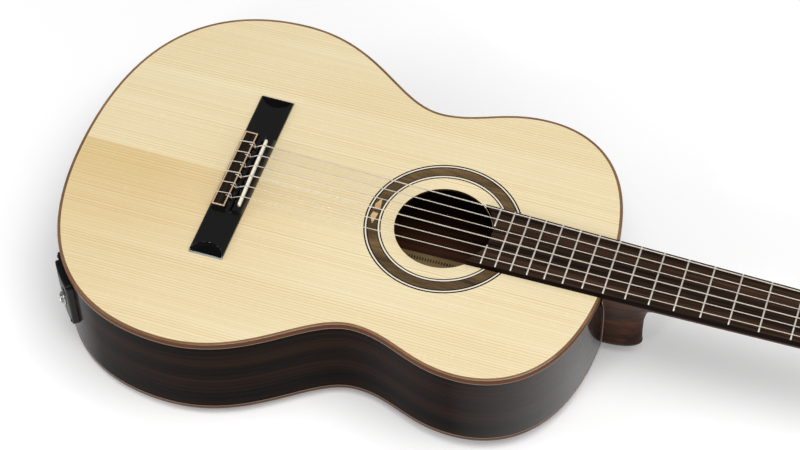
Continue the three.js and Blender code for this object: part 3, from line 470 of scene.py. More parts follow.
NICKEL = speckled("nickel", (216, 216, 212), (180, 180, 176), 220, 0.16, 1.0)
BRASS = speckled("brass", (214, 178, 96), (176, 134, 62), 180, 0.24, 1.0)
PEARL = speckled("pearl", (238, 234, 224), (206, 200, 186), 120, 0.25, coat=0.7, amount=0.8)
BLACK_PLASTIC = speckled("black_plastic", (9, 9, 9), (17, 17, 17), 240, 0.36, bump=0.00004, specular=0.2)
BATTERY_SKIN = speckled("battery_skin", (44, 48, 56), (30, 33, 40), 200, 0.35)
# the soundhole's inner wall: darker brown for its end grain, with painted shade
HOLE_WALL_END_GRAIN_AND_SHADE = streaked_wood("hole_wall_end_grain_and_shade", (70, 50, 28), (40, 26, 14), (60, 60, 400), roughness=0.6)
PAPER = label_paper("label_paper", *(Vector(corner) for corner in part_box("label")))

# ---------------------------------------------------------------- making pieces


def as_mesh(name, bm):
    mesh = bpy.data.meshes.new(name)
    bm.to_mesh(mesh)
    bm.free()
    return mesh


def add(name, data):
    """A new object in the scene."""
    made = bpy.data.objects.new(name, data)
    bpy.context.scene.collection.objects.link(made)
    return made


def shade(mesh, sharp):
    """Smooth shading, with creases where faces meet at more than an angle."""
    mesh.polygons.foreach_set("use_smooth", [True] * len(mesh.polygons))
    mesh.set_sharp_from_angle(angle=math.radians(sharp))


def make(name, bm, materials, slot, body="body", stands_for=(), sharp=35):
    """Turns a bmesh into a piece that rides on a body and takes the given materials; the slot is not used."""
    bmesh.ops.recalc_face_normals(bm, faces=bm.faces)
    bm.transform(TO_ROW)
    mesh = as_mesh(name, bm)
    for material in materials if isinstance(materials, list) else [materials]:
        mesh.materials.append(material)
    shade(mesh, sharp)
    made = add(name, mesh)
    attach(made, body)
    if stands_for:
        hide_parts(*stands_for)
    return made


def settle(target):
    """Applies every modifier of a piece."""
    graph = bpy.context.evaluated_depsgraph_get()
    graph.update()
    settled = bpy.data.meshes.new_from_object(target.evaluated_get(graph))
    old = target.data
    target.modifiers.clear()
    target.data = settled
    bpy.data.meshes.remove(old)


def carve(target, bm):
    """Cuts a closed bmesh out of a piece, for good."""
    bmesh.ops.recalc_face_normals(bm, faces=bm.faces)
    bm.transform(TO_ROW)
    cutter = add("cutter", as_mesh("cutter", bm))
    cut = target.modifiers.new("cut", "BOOLEAN")
    cut.operation = "DIFFERENCE"
    cut.solver = "EXACT"
    cut.object = cutter
    settle(target)
    bpy.data.objects.remove(cutter)


def loop(bm, points):
    """A ring of vertices."""
    return [bm.verts.new(p) for p in points]


def skin(bm, first, second, material=0):
    """Quads between two closed rings of the same length."""
    count = len(first)
    for i in range(count):
        j = (i + 1) % count
        bm.faces.new((first[i], first[j], second[j], second[i])).material_index = material


def fill(bm, *rings):
    """A flat face between one outer ring and any holes."""
    edges = []
    for ring in rings:
        for a, b in zip(ring, ring[1:] + ring[:1]):
            edges.append(bm.edges.get((a, b)) or bm.edges.new((a, b)))
    bmesh.ops.triangle_fill(bm, use_beauty=True, use_dissolve=False, edges=edges)


def loft(bm, rings, ends=0, materials=(), filled=False):
    """A body skinned from ring to ring and closed at both ends; filled is for ends that aren't convex."""
    for k, (a, b) in enumerate(zip(rings, rings[1:])):
        skin(bm, a, b, materials[k] if materials else ends)
    for ring in (rings[0], rings[-1]):
        if filled:
            fill(bm, ring)
        else:
            bm.faces.new(ring).material_index = ends
    return bm


def around(bm, rings, materials=()):
    """A hollow body skinned from ring to ring and back to the first."""
    for k, (a, b) in enumerate(zip(rings, rings[1:] + rings[:1])):
        skin(bm, a, b, materials[k] if materials else 0)
    return bm


def turns(steps):
    """Angles once round."""
    return [2 * math.pi * k / steps for k in range(steps)]


def circle(radius, z):
    """A ring round the soundhole's middle."""
    return [(HOLE_X + radius * math.cos(t), radius * math.sin(t), z) for t in turns(CIRCLE_STEPS)]


def arc(middle, radius, start, sweep, steps):
    """Points along a part of a circle, from one angle on."""
    angles = [start + sweep * k / steps for k in range(steps + 1)]
    return [(middle[0] + radius * math.cos(t), middle[1] + radius * math.sin(t)) for t in angles]


def turned(profile, place, steps, axis="X", bm=None):
    """A body of revolution from a profile of (radius, height) that starts and ends on the axis, or
    that closes on itself."""
    bm = bm or bmesh.new()
    place = place @ ON_AXIS[axis]
    rings = []
    for radius, height in profile:
        ring = [(radius * math.cos(t), radius * math.sin(t), height) for t in turns(steps)]
        rings.append(loop(bm, [place @ Vector(p) for p in (ring if radius else ring[:1])]))
    if profile[0][0]:
        return around(bm, rings)
    for a, b in zip(rings, rings[1:]):
        if len(a) == len(b):
            skin(bm, a, b)
            continue
        tip, ring = (a[0], b) if len(a) == 1 else (b[0], a)
        for i in range(steps):
            bm.faces.new((tip, ring[i], ring[(i + 1) % steps]))
    return bm


ON_AXIS = {
    "X": Matrix.Rotation(math.pi / 2, 4, "Y"),
    "Y": Matrix.Rotation(-math.pi / 2, 4, "X"),
    "Z": Matrix(),
}


def rod(radius, low, high, place, steps, axis="X", bm=None):
    """A plain round bar, for cutting."""
    return turned([(0, low), (radius, low), (radius, high), (0, high)], place, steps, axis, bm)


def tube(points, radius, sides):
    """A round tube through points, closed at both ends."""
    bm = bmesh.new()
    side = None
    rings = []
    for i, point in enumerate(points):
        ahead = (points[min(i + 1, len(points) - 1)] - points[max(i - 1, 0)]).normalized()
        if side is None:
            side = ahead.orthogonal().normalized()
        side = (side - ahead * side.dot(ahead)).normalized()
        other = ahead.cross(side)
        spokes = [(side * math.cos(t) + other * math.sin(t)) * radius for t in turns(sides)]
        rings.append(loop(bm, [point + spoke for spoke in spokes]))
    return loft(bm, rings)


def rounded_route(corners, radius):
    """A route through corners, each inner one turned into a small curve."""
    steps = 6
    corners = [Vector(c) for c in corners]
    points = [corners[0]]
    for before, corner, after in zip(corners, corners[1:], corners[2:]):
        reach = min(radius, (corner - before).length * 0.45, (after - corner).length * 0.45)
        start = corner + (before - corner).normalized() * reach
        end = corner + (after - corner).normalized() * reach
        for k in range(steps + 1):
            t = k / steps
            points.append(start * (1 - t) ** 2 + corner * 2 * t * (1 - t) + end * t * t)
    points.append(corners[-1])
    return points


def block(low, high, turn, bm=None):
    """A plain box between two corners."""
    bm = bm or bmesh.new()
    size = Vector(high) - Vector(low)
    middle = (Vector(high) + Vector(low)) / 2
    bmesh.ops.create_cube(bm, size=1, matrix=turn @ Matrix.Translation(middle) @ Matrix.Diagonal((*size, 1)))
    return bm


def ease(low, high, at):
    """A smooth step from 0 to 1."""
    t = min(1.0, max(0.0, (at - low) / (high - low)))
    return t * t * (3 - 2 * t)


def between(table, at):
    """The value at a place, from rows of (place, value), and no further than the table's ends."""
    for (p0, v0), (p1, v1) in zip(table, table[1:]):
        if at <= p1:
            break
    return v0 + (v1 - v0) * min(1.0, max(0.0, (at - p0) / (p1 - p0)))


def lines_between(marks, pitch):
    """Grid lines through every mark, with more between them where they are far apart."""
    lines = [marks[0]]
    for a, b in zip(marks, marks[1:]):
        count = max(1, round((b - a) / pitch))
        lines += [a + (b - a) * k / count for k in range(1, count + 1)]
    return lines


def prism(ring, low, high, turn, bm=None, holes=()):
    """A flat shape given a thickness, with any holes right through it."""
    bm = bm or bmesh.new()
    layers = []
    for z in (low, high):
        layers.append([loop(bm, [turn @ Vector((x, y, z)) for x, y in points]) for points in (ring, *holes)])
        fill(bm, *layers[-1])
    for a, b in zip(*layers):
        skin(bm, a, b)
    return bm


def inset(ring, amount):
    """A closed ring of points moved inwards; the ring runs anticlockwise."""
    moved = []
    for before, at, after in zip(ring[-1:] + ring[:-1], ring, ring[1:] + ring[:1]):
        along = (Vector(after) - Vector(before)).normalized()
        moved.append((at[0] - along.y * amount, at[1] + along.x * amount))
    return moved


def layered(ring, levels, place):
    """A closed body with the same ring at every level, from levels of (height, inset)."""
    bm = bmesh.new()
    rings = [loop(bm, [place @ Vector((x, y, z)) for x, y in inset(ring, cut)]) for z, cut in levels]
    return loft(bm, rings, filled=True)


def bezier(p0, p1, p2, p3, steps):
    """A curve from p0 up to, but without, p3."""
    points = []
    for t in (k / steps for k in range(steps)):
        weights = ((1 - t) ** 3, 3 * (1 - t) ** 2 * t, 3 * (1 - t) * t * t, t**3)
        points.append(tuple(sum(w * v for w, v in zip(weights, axis)) for axis in zip(p0, p1, p2, p3)))
    return points


# ---------------------------------------------------------------- the body's outline and back


def outline(inward):
    """The bass half of the outline from tail to neck, moved inwards."""
    points = []
    for (x0, y0, h0, _, after), (x1, y1, h1, before, _) in zip(OUTLINE, OUTLINE[1:]):
        p0, p3 = Vector((x0, y0)), Vector((x1, y1))
        p1, p2 = p0 + Vector(h0) * after, p3 - Vector(h1) * before
        for i in range(1 if points else 0, OUTLINE_STEPS + 1):
            t = i / OUTLINE_STEPS
            s = 1 - t
            at = p0 * s**3 + p1 * 3 * s * s * t + p2 * 3 * s * t * t + p3 * t**3
            along = ((p1 - p0) * s * s + (p2 - p1) * 2 * s * t + (p3 - p2) * t * t).normalized()
            points.append(Vector((at.x + along.y * inward, at.y - along.x * inward)))
    return points


def full_outline(inward):
    bass = outline(inward)
    return bass + [Vector((p.x, -p.y)) for p in bass[-2:0:-1]]


def back_z(x, y, height=0.0):
    """The back's outer face, or a height above it."""
    depth = DEPTH_AT_NECK - (DEPTH_AT_TAIL - DEPTH_AT_NECK) * x / BODY_LENGTH
    half = BACK_STRIP / 2
    return -depth + BACK_ARCH * max(0.0, y * y - half * half) + height


def swept(profile):
    """A closed band round the body. Each profile point has how far inwards it is, its height over the
    face or the back, whether that is the back, and the material of the surface that follows it."""
    bm = bmesh.new()
    rings = []
    for inward, height, from_back, _ in profile:
        ring = full_outline(inward)
        rings.append(loop(bm, [(p.x, p.y, back_z(p.x, p.y, height) if from_back else height) for p in ring]))
    return around(bm, rings, [material for *_, material in profile])


def soundboard():
    bm = bmesh.new()
    edge = [(p.x, p.y) for p in full_outline(BINDING_WIDTH)]
    top_edge = loop(bm, [(x, y, 0) for x, y in edge])
    low_edge = loop(bm, [(x, y, -TOP_THICKNESS) for x, y in edge])
    gap = 0.05
    sections = [
        (ROSETTE_OUT + gap, 0),
        (ROSETTE_OUT + gap, -1.25),
        (ROSETTE_IN - gap, -1.25),
        (ROSETTE_IN - gap, 0),
        (HOLE_RADIUS + 0.3, 0),
        (HOLE_RADIUS + 0.08, -0.08),
        (HOLE_RADIUS, -0.3),
        (HOLE_RADIUS, -TOP_THICKNESS),
    ]
    rings = [loop(bm, circle(radius, z)) for radius, z in sections]
    fill(bm, top_edge, rings[0])
    for a, b in zip(rings[:-1], rings[1:-1]):
        skin(bm, a, b)
    # the hole's inner wall takes a darker brown: end grain, with painted shade
    skin(bm, rings[-2], rings[-1], 1)
    fill(bm, low_edge, rings[-1])
    skin(bm, top_edge, low_edge)
    make("soundboard", bm, [SPRUCE, HOLE_WALL_END_GRAIN_AND_SHADE], "spruce",
         stands_for=["soundboard_bass_half", "soundboard_treble_half"])


def rosette():
    """Black and white lines either side of a band, with two pale kites let into it."""
    lines = [  # outer radius of each ring, with its material
        (ROSETTE_OUT, 1),
        (68.5, 2),
        (67.3, 1),
        (BAND_OUT, 0),
        (BAND_IN, 1),
        (57.2, 2),
        (55.9, 1),
        (ROSETTE_IN, 1),
    ]
    bm = bmesh.new()
    top = [loop(bm, circle(radius, 0.02)) for radius, _ in lines]
    for (a, b), (_, material) in zip(zip(top, top[1:]), lines):
        skin(bm, a, b, material)
    low_out, low_in = loop(bm, circle(ROSETTE_OUT, -1.2)), loop(bm, circle(ROSETTE_IN, -1.2))
    skin(bm, top[0], low_out, 1)
    skin(bm, low_out, low_in, 1)
    skin(bm, low_in, top[-1], 1)
    make("rosette_rings", bm, [BAND_WOOD, RING_DARK, RING_WHITE], "rosette_wood", stands_for=["rosette"])
    bm = bmesh.new()
    middle = (BAND_OUT + BAND_IN) / 2
    tips = ((0.4, 13.5), (3.1, 6), (1.8, 1.6), (-3, 2.4), (-2, 7.5))  # mm from the middle, degrees
    for side in (-1, 1):
        kite = [(middle + out, math.pi + side * math.radians(angle)) for out, angle in tips]
        ring = [(HOLE_X + radius * math.cos(turn), radius * math.sin(turn)) for radius, turn in kite]
        loft(bm, [loop(bm, [(x, y, z) for x, y in ring]) for z in (0.06, -0.2)])
    make("rosette_motif", bm, MOTIF_WOOD, "maple")


def ribs_and_bindings():
    width, low, high = BINDING_WIDTH, -TOP_BINDING, BACK_BINDING
    wall = [(0.05, low, False, 0), (0.05, high, True, 0), (width, high, True, 0), (width, low, False, 0)]
    ribs = make("ribs", swept(wall), RIB_ROSEWOOD_SHADED, "rosewood", stands_for=["rib_bass", "rib_treble"])
    reach_y, reach_z = SLEEVE[0] + PLAY, SLEEVE[1] + PLAY
    carve(ribs, block((-20, DRAWER_Y - reach_y, DRAWER_Z - reach_z),
                      (20, DRAWER_Y + reach_y, DRAWER_Z + reach_z), RIB))
    carve(ribs, rod(JACK_HOLE, -20, 20, JACK, 24))
    top = [
        (0, low + 0.75, False, 1),  # the side face
        (0, -0.9, False, 1),
        (0.3, -0.3, False, 0),
        (0.9, 0, False, 0),
        (width, 0, False, 2),
        (width, low, False, 2),
        (0, low, False, 2),  # a light line under it
    ]
    make("top_binding_band", swept(top), [BINDING_FACE, BINDING_SIDE, PURFLING], "binding_wood",
         stands_for=["top_binding"])
    back = [
        (0, high, True, 0),
        (0, high - 0.75, True, 1),
        (0, 1, True, 1),
        (0.3, 0.3, True, 1),
        (1, 0, True, 1),
        (width, 0, True, 1),
        (width, high, True, 0),
    ]
    make("back_binding_band", swept(back), [PURFLING, BINDING_SIDE], "binding_wood",
         stands_for=["back_binding"])


def sheet(bm, rows, material=0):
    """Quads between rows of vertices."""
    faces = []
    for a, b in zip(rows, rows[1:]):
        for k in range(len(a) - 1):
            faces.append(bm.faces.new((a[k], a[k + 1], b[k + 1], b[k])))
            faces[-1].material_index = material
    return faces


def close_edges(bm, top, low):
    """Quads round the edges of two sheets with the same rows."""
    for i in (0, -1):
        sheet(bm, [top[i], low[i]])
        sheet(bm, [[row[i] for row in top], [row[i] for row in low]])


def back_sheet(name, y_from, y_to, materials, slot, stands_for):
    """Part of the arched back between two lines along it, both faces and edges."""
    bm = bmesh.new()
    columns = 14
    layers = []
    for height in (0.0, BACK_THICKNESS):
        rows = []
        for p in outline(BINDING_WIDTH)[1:-1]:
            a, b = max(min(y_from, p.y), -p.y), max(min(y_to, p.y), -p.y)
            ys = [a + (b - a) * k / columns for k in range(columns + 1)]
            rows.append(loop(bm, [(p.x, y, back_z(p.x, y, height)) for y in ys]))
        layers.append(rows)
    for inside, rows in enumerate(layers):
        sheet(bm, rows, inside)
    close_edges(bm, *layers)
    bmesh.ops.remove_doubles(bm, verts=bm.verts, dist=1e-5)
    bmesh.ops.dissolve_degenerate(bm, edges=bm.edges, dist=1e-5)
    make(name, bm, materials, slot, stands_for=stands_for)


def back():
    edge = BACK_STRIP / 2
    back_sheet("back_bass", edge, 300, [BACK_WOOD, BACK_INSIDE], "rosewood", ["back_bass_half"])
    back_sheet("back_treble", -300, -edge, [BACK_WOOD, BACK_INSIDE], "rosewood", ["back_treble_half"])
    back_sheet("back_strip", -edge, edge, [BINDING_SIDE, BACK_INSIDE], "binding_wood", ["back_centre_strip"])


# ---------------------------------------------------------------- fretboard and frets


def board_half(x):
    return BOARD_AT_JOINT - (BOARD_AT_JOINT - BOARD_AT_NUT) * x / NUT_X


def fret_x(number):
    return SCALE_LENGTH * (2 ** (-number / 12) - 0.5)


def board_end(y):
    return HOLE_X + math.sqrt(BOARD_END_RADIUS**2 - y * y)


def fretboard():
    half = board_half(-120)
    steps = 40
    ys = [-half + 2 * half * i / steps for i in range(steps + 1)]
    points = [(board_end(y), y) for y in ys] + [(NUT_X, BOARD_AT_NUT), (NUT_X, -BOARD_AT_NUT)]
    bm = bmesh.new()
    middle_x = 100
    rings = []
    levels = ((0, 0), (BOARD_TOP - 0.35, 0), (BOARD_TOP - 0.1, 0.1), (BOARD_TOP, 0.35), (BOARD_TOP, 0.7))
    for z, inward in levels:
        ring = []
        for x, y in points:
            shift_x = -inward if x > middle_x else inward
            shift_y = -math.copysign(inward, y) * (abs(y) > 20)
            ring.append((x + shift_x, y + shift_y, z))
        rings.append(loop(bm, ring))
    # the board's sides take the copy of its wood with painted shade
    loft(bm, rings, materials=(1, 1, 0, 0), filled=True)
    make("fingerboard", bm, [BOARD_WOOD, BOARD_EDGE_SHADE], "board_wood", stands_for=["fretboard"])


def fret(name, x, y_from, y_to):
    """A crowned wire across the board, its ends filed round."""
    bm = bmesh.new()
    half, edge, height = 0.75, 0.25, 0.95
    angles = [math.pi * k / 10 for k in range(11)]
    crown = [(half * math.cos(a), edge + (height - edge) * math.sin(a)) for a in angles]
    section = [(half, -FRET_SINK), *crown, (-half, -FRET_SINK)]
    rings = []
    for y, size in ((y_from, 0.35), (y_from + 0.25, 0.8), (y_from + 0.8, 1),
                    (y_to - 0.8, 1), (y_to - 0.25, 0.8), (y_to, 0.35)):
        rings.append(loop(bm, [(x + u * (0.7 + 0.3 * size), y, BOARD_TOP + w * size) for u, w in section]))
    make(name, loft(bm, rings), FRET_METAL, "nickel", sharp=50)


def frets():
    for number in range(1, FRETS + 1):
        x = fret_x(number)
        reach = board_half(x) - 0.45
        if number < FRETS:
            fret(f"fret_{number}", x, -reach, reach)
            continue
        gap = math.sqrt(BOARD_END_RADIUS**2 - (x - 1.3 - HOLE_X) ** 2)
        fret(f"fret_{number}_treble", x, -reach, -gap)
        fret(f"fret_{number}_bass", x, gap, reach)


# ---------------------------------------------------------------- neck and heel


def bisected(bm, point, normal):
    """Keeps what is behind a plane and closes the cut."""
    cut = bmesh.ops.bisect_plane(
        bm,
        geom=[*bm.verts, *bm.edges, *bm.faces],
        plane_co=point,
        plane_no=normal,
        clear_outer=True,
    )
    rim = [e for e in cut["geom_cut"] if isinstance(e, bmesh.types.BMEdge)]
    bmesh.ops.holes_fill(bm, edges=rim, sides=0)


HEEL = [  # z, half width, nose
    (-92.0, 12.6, 34.0),
    (-75, 12.4, 33.3),
    (-60, 12.8, 33.3),
    (-48, 14.0, 34.6),
    (-38, 16.0, 38.0),
    (-30, 18.5, 43.5),
    (-23, 21.5, 52.0),
    (-17, 24.3, 64.0),
    (-11, 26.6, 78.0),
    (-5, 28.2, 90.0),
]
HEEL_HALF = [(z, half) for z, half, _ in HEEL]
HEEL_NOSE = [(z, nose) for z, _, nose in HEEL]
HEEL_END = -88.2
HEEL_ROOT = -8
NECK_SQUARENESS = 1.85
NECK_DEPTH = [(-10, 17), (80, 16.5), (160, 16), (240, 15.5), (NUT_X - 10, 15), (NUT_X + 6, 17),
              (NUT_X + 16, 22), (NUT_X + 30, 27)]


def heel_nose(x, reach, half, z, steps):
    """The heel's rounded front at one height."""
    angles = [math.pi * i / steps - math.pi / 2 for i in range(steps + 1)]
    return [(x + reach * max(0.0, math.cos(a)) ** 0.9, half * math.sin(a), z) for a in angles]


def neck():
    """The shaft and the heel, melted together and cut to the board, the body, the cap and the head."""
    bm = bmesh.new()
    rings = []
    steps = 40
    for k in range(71):
        x = HEEL_ROOT + (NUT_X + 38) * k / 70
        half = max(board_half(x), BOARD_AT_NUT)
        depth = between(NECK_DEPTH, x)
        ring = [(x, half, 5)]
        for i in range(steps + 1):
            angle = math.pi * i / steps
            c, s = math.cos(angle), math.sin(angle)
            y = half * math.copysign(abs(c) ** (2 / NECK_SQUARENESS), c)
            ring.append((x, y, -depth * s ** (2 / NECK_SQUARENESS)))
        rings.append(loop(bm, [*ring, (x, -half, 5)]))
    loft(bm, rings)
    rings = []
    for k in range(61):
        z = HEEL[0][0] - 4 + (3 - HEEL[0][0]) * k / 60
        half = between(HEEL_HALF, z)
        front = heel_nose(0.2, between(HEEL_NOSE, z), half, z, steps)
        rings.append(loop(bm, [(HEEL_ROOT, -half, z), *front, (HEEL_ROOT, half, z)]))
    loft(bm, rings)
    bmesh.ops.recalc_face_normals(bm, faces=bm.faces)
    made = make("neck_shaft", bm, MAHOGANY, "mahogany", stands_for=["neck"])
    remesh = made.modifiers.new("remesh", "REMESH")
    remesh.mode = "VOXEL"
    remesh.voxel_size = 1.5 * MM
    smooth = made.modifiers.new("smooth", "SMOOTH")
    smooth.iterations = 8
    smooth.factor = 0.5
    settle(made)
    bm = bmesh.new()
    bm.from_mesh(made.data)
    bm.transform(TO_LUTHIER)
    bisected(bm, (0, 0, -0.02), (0, 0, 1))
    bisected(bm, (0.15, 0, 0), (-1, 0, 0))
    bisected(bm, (0, 0, HEEL_END), (0, 0, -1))
    bm.transform(TO_ROW)
    bm.to_mesh(made.data)
    bm.free()
    for low, high in (((0, -60, -VENEER - 0.05), (80, 60, 40)), ((14, -60, -60), (80, 60, 40)),
                      ((-14, -60, -60), (80, 60, -HEAD_THICKNESS))):
        carve(made, block(low, high, HEAD))
    shade(made.data, 40)


def painted_heel_highlights():
    """Two light lines where the heel's sides meet the ribs: painted highlights along the joints."""
    bm = bmesh.new()
    levels = [HEEL_END + (-TOP_BINDING - HEEL_END) * k / 40 for k in range(41)]
    for side in (1, -1):
        rings = []
        for z in levels:
            y = between(HEEL_HALF, z) - 0.6
            corners = ((0, y), (0.5, y), (0.5, y + 0.9), (0, y + 1.3))
            rings.append(loop(bm, [(x, side * across, z) for x, across in corners]))
        loft(bm, rings)
    make("painted_heel_highlights", bm, PURFLING, "binding_wood")


def heel_cap():
    bm = bmesh.new()
    low, high = (TO_LUTHIER @ Vector(corner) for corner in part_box("heel_cap"))
    levels = ((low.z, -0.5), (low.z + 0.5, 0), (high.z + 0.1, 0))
    rings = [loop(bm, heel_nose(0.3, 34 + grow, 12.6 + grow, z, 32)) for z, grow in levels]
    make("heel_end_cap", loft(bm, rings), EBONY, "ebony", stands_for=["heel_cap"])


# ---------------------------------------------------------------- bridge, saddle and nut


RIDGE = [  # x and height of the bridge's middle, from back to front
    (BRIDGE_BACK, 2.6),
    (BRIDGE_BACK + 0.8, 3.8),
    (TIE_BACK - 0.1, 4.2),
    (TIE_BACK, TIE_TOP),
    (TIE_FRONT, TIE_TOP),
    (TIE_FRONT + 0.1, 3.4),
    (TIE_FRONT + 4.2, 3.0),
    (TIE_FRONT + 5.6, 3.8),
    (TIE_FRONT + 7, 6.9),
    (TIE_FRONT + 7.8, 7.5),
    (BRIDGE_FRONT - 3, 7.3),
    (BRIDGE_FRONT - 1.6, 6.4),
    (BRIDGE_FRONT - 0.7, 4.8),
    (BRIDGE_FRONT, 3),
]
SCOOP = (14.6, 12.5)
SCOOP_RIM = BRIDGE_HALF - 1.15
SADDLE_TURN = Matrix.Translation((SADDLE_X, 0, 0)) @ Matrix.Rotation(SADDLE_SLANT, 4, "Z")


def in_scoop(x, y):
    """How far from the middle of the scoop at a wing's end; its rim is at 1."""
    middle = (BRIDGE_BACK + BRIDGE_FRONT) / 2
    return math.hypot((x - middle) / SCOOP[0], (BRIDGE_HALF - abs(y)) / SCOOP[1])


def bridge_height(x, y):
    edge = min(x - BRIDGE_BACK, BRIDGE_FRONT - x)
    wing = WING_HEIGHT - 1.0 * max(0.0, 1 - edge / 2.2) ** 2
    if in_scoop(x, y) < 1:
        wing = min(wing, 1.3 + (WING_HEIGHT - 1.3) * in_scoop(x, y) ** 14)
    wing = min(wing, 0.15 + BRIDGE_HALF - abs(y))
    ridge = between(RIDGE, x)
    return ridge + (wing - ridge) * ease(TIE_HALF, TIE_HALF + 1.6, abs(y))


def string_y(i, spacing):
    return (i - (len(STRINGS) - 1) / 2) * spacing


def bridge():
    bm = bmesh.new()
    xs = lines_between([x for x, _ in RIDGE], 0.5)
    ys = lines_between([0, TIE_HALF, TIE_HALF + 0.5, TIE_HALF + 1, TIE_HALF + 1.6, 79], 0.8)
    ys += lines_between([79, BRIDGE_HALF - 3.25, SCOOP_RIM, BRIDGE_HALF], 0.35)[1:]
    ys = [-y for y in ys[:0:-1]] + ys
    top = [loop(bm, [(x, y, bridge_height(x, y)) for y in ys]) for x in xs]
    low = [loop(bm, [(x, y, 0) for y in ys]) for x in xs]
    # faces in the scoops take the rougher ebony with painted shade
    for face in sheet(bm, top):
        centre = face.calc_center_median()
        face.material_index = int(in_scoop(centre.x, centre.y) < 1 and abs(centre.y) < SCOOP_RIM)
    sheet(bm, low)
    close_edges(bm, top, low)
    made = make("bridge_body", bm, [EBONY, EBONY_SCOOP_SHADE], "ebony", stands_for=["bridge"])
    holes = bmesh.new()
    for i in range(len(STRINGS)):
        place = Matrix.Translation((TIE_FRONT - 6, string_y(i, SADDLE_SPACING), TIE_HOLE_Z))
        rod(0.95, -20, 20, place, 14, bm=holes)
    carve(made, holes)
    carve(made, block((-1.4, -SADDLE_HALF - 0.2, 4), (1.4, SADDLE_HALF + 0.2, 20), SADDLE_TURN))
    shade(made.data, 28)


def bone_bar(name, stands_for, section_at, ys, turn):
    """A bar of bone with a section that changes along its length."""
    bm = bmesh.new()
    rings = [loop(bm, [turn @ Vector((x, y, z)) for x, z in section_at(y)]) for y in ys]
    make(name, loft(bm, rings), BONE, "bone", stands_for=stands_for)


def saddle():
    def section(y):
        end = max(0.0, abs(y) - (SADDLE_HALF - 1.2)) / 1.2
        half = 1.3 * (1 - 0.35 * end**2)
        top = SADDLE_TOP - 0.9 * end**2 - 0.5 * (y / SADDLE_HALF) ** 2
        angles = [math.pi * k / 8 for k in range(9)]
        crown = [(half * math.cos(a), top - half + half * math.sin(a) ** 0.8) for a in angles]
        return [(half, 3.2), *crown, (-half, 3.2)]

    ends = [SADDLE_HALF - 1.2, SADDLE_HALF - 0.4, SADDLE_HALF]
    ys = lines_between([-y for y in ends[::-1]] + ends, 3)
    bone_bar("saddle_bone", ["saddle"], section, ys, SADDLE_TURN)


def nut():
    half = BOARD_AT_NUT - 0.05

    def section(y):
        from_slot = min(abs(y - string_y(i, NUT_SPACING)) for i in range(len(STRINGS)))
        dip = 0.35 * max(0.0, 1 - from_slot / 0.6)
        end = 0.5 * max(0.0, abs(y) - half + 0.5)
        top = NUT_TOP + 0.3 - dip - end
        back = 5.6
        return [(0, 0.1), (0, top - 0.4), (0.4, top), (1.8, top), (back - 0.2, top - 2.9), (back, top - 3.4),
                (back, 0.1)]

    ys = lines_between([-half, -half + 0.5, half - 0.5, half], 0.25)
    bone_bar("nut_bone", ["nut"], section, ys, Matrix.Translation((NUT_X + 0.05, 0, 0)))


def tie_block_trim():
    """A pale frame with a dark inlay inside it."""
    edge = 1.2
    middle_x = (TIE_BACK + TIE_FRONT) / 2
    corners = ((TIE_BACK, -TIE_HALF), (TIE_FRONT, -TIE_HALF), (TIE_FRONT, TIE_HALF), (TIE_BACK, TIE_HALF))

    def ring(bm, inward, z):
        return loop(bm, [(x - math.copysign(inward, x - middle_x), y - math.copysign(inward, y), z)
                         for x, y in corners])

    levels = [(0, TIE_TOP), (0, TRIM_TOP - 0.3), (0.3, TRIM_TOP), (edge - 0.3, TRIM_TOP),
              (edge, TRIM_TOP - 0.3), (edge, TIE_TOP)]
    bm = bmesh.new()
    around(bm, [ring(bm, inward, z) for inward, z in levels])
    make("tie_block_frame", bm, TRIM_WOOD, "maple", stands_for=["tie_block_trim"])
    bm = bmesh.new()
    loft(bm, [ring(bm, edge, TIE_TOP), ring(bm, edge, TRIM_TOP - 0.45)])
    make("tie_block_inlay", bm, INLAY_WOOD, "rosette_wood")


# ---------------------------------------------------------------- strings


def coil(i, skipped, rounds, pitch):
    """A string's turns round its roller, from where the string reaches it, after some room along it."""
    diameter = STRINGS[i][1]
    machine = min(i, len(STRINGS) - 1 - i)
    side = -1 if i < 3 else 1
    way = -1 if machine == 0 else 1
    centre = HEAD @ Matrix.Translation((ROLLER_U[machine], 0, ROLLER_W))
    reach = ROLLER_RADIUS + diameter / 2 + 0.1
    count = round(36 * rounds)
    points = []
    for k in range(count + 1):
        done = rounds * k / count
        turn = math.radians(96) - 2 * math.pi * done
        along = 18.5 - 3.5 * machine + way * diameter * (skipped + pitch * done)
        points.append(centre @ Vector((reach * math.cos(turn), side * along, reach * math.sin(turn))))
    return points


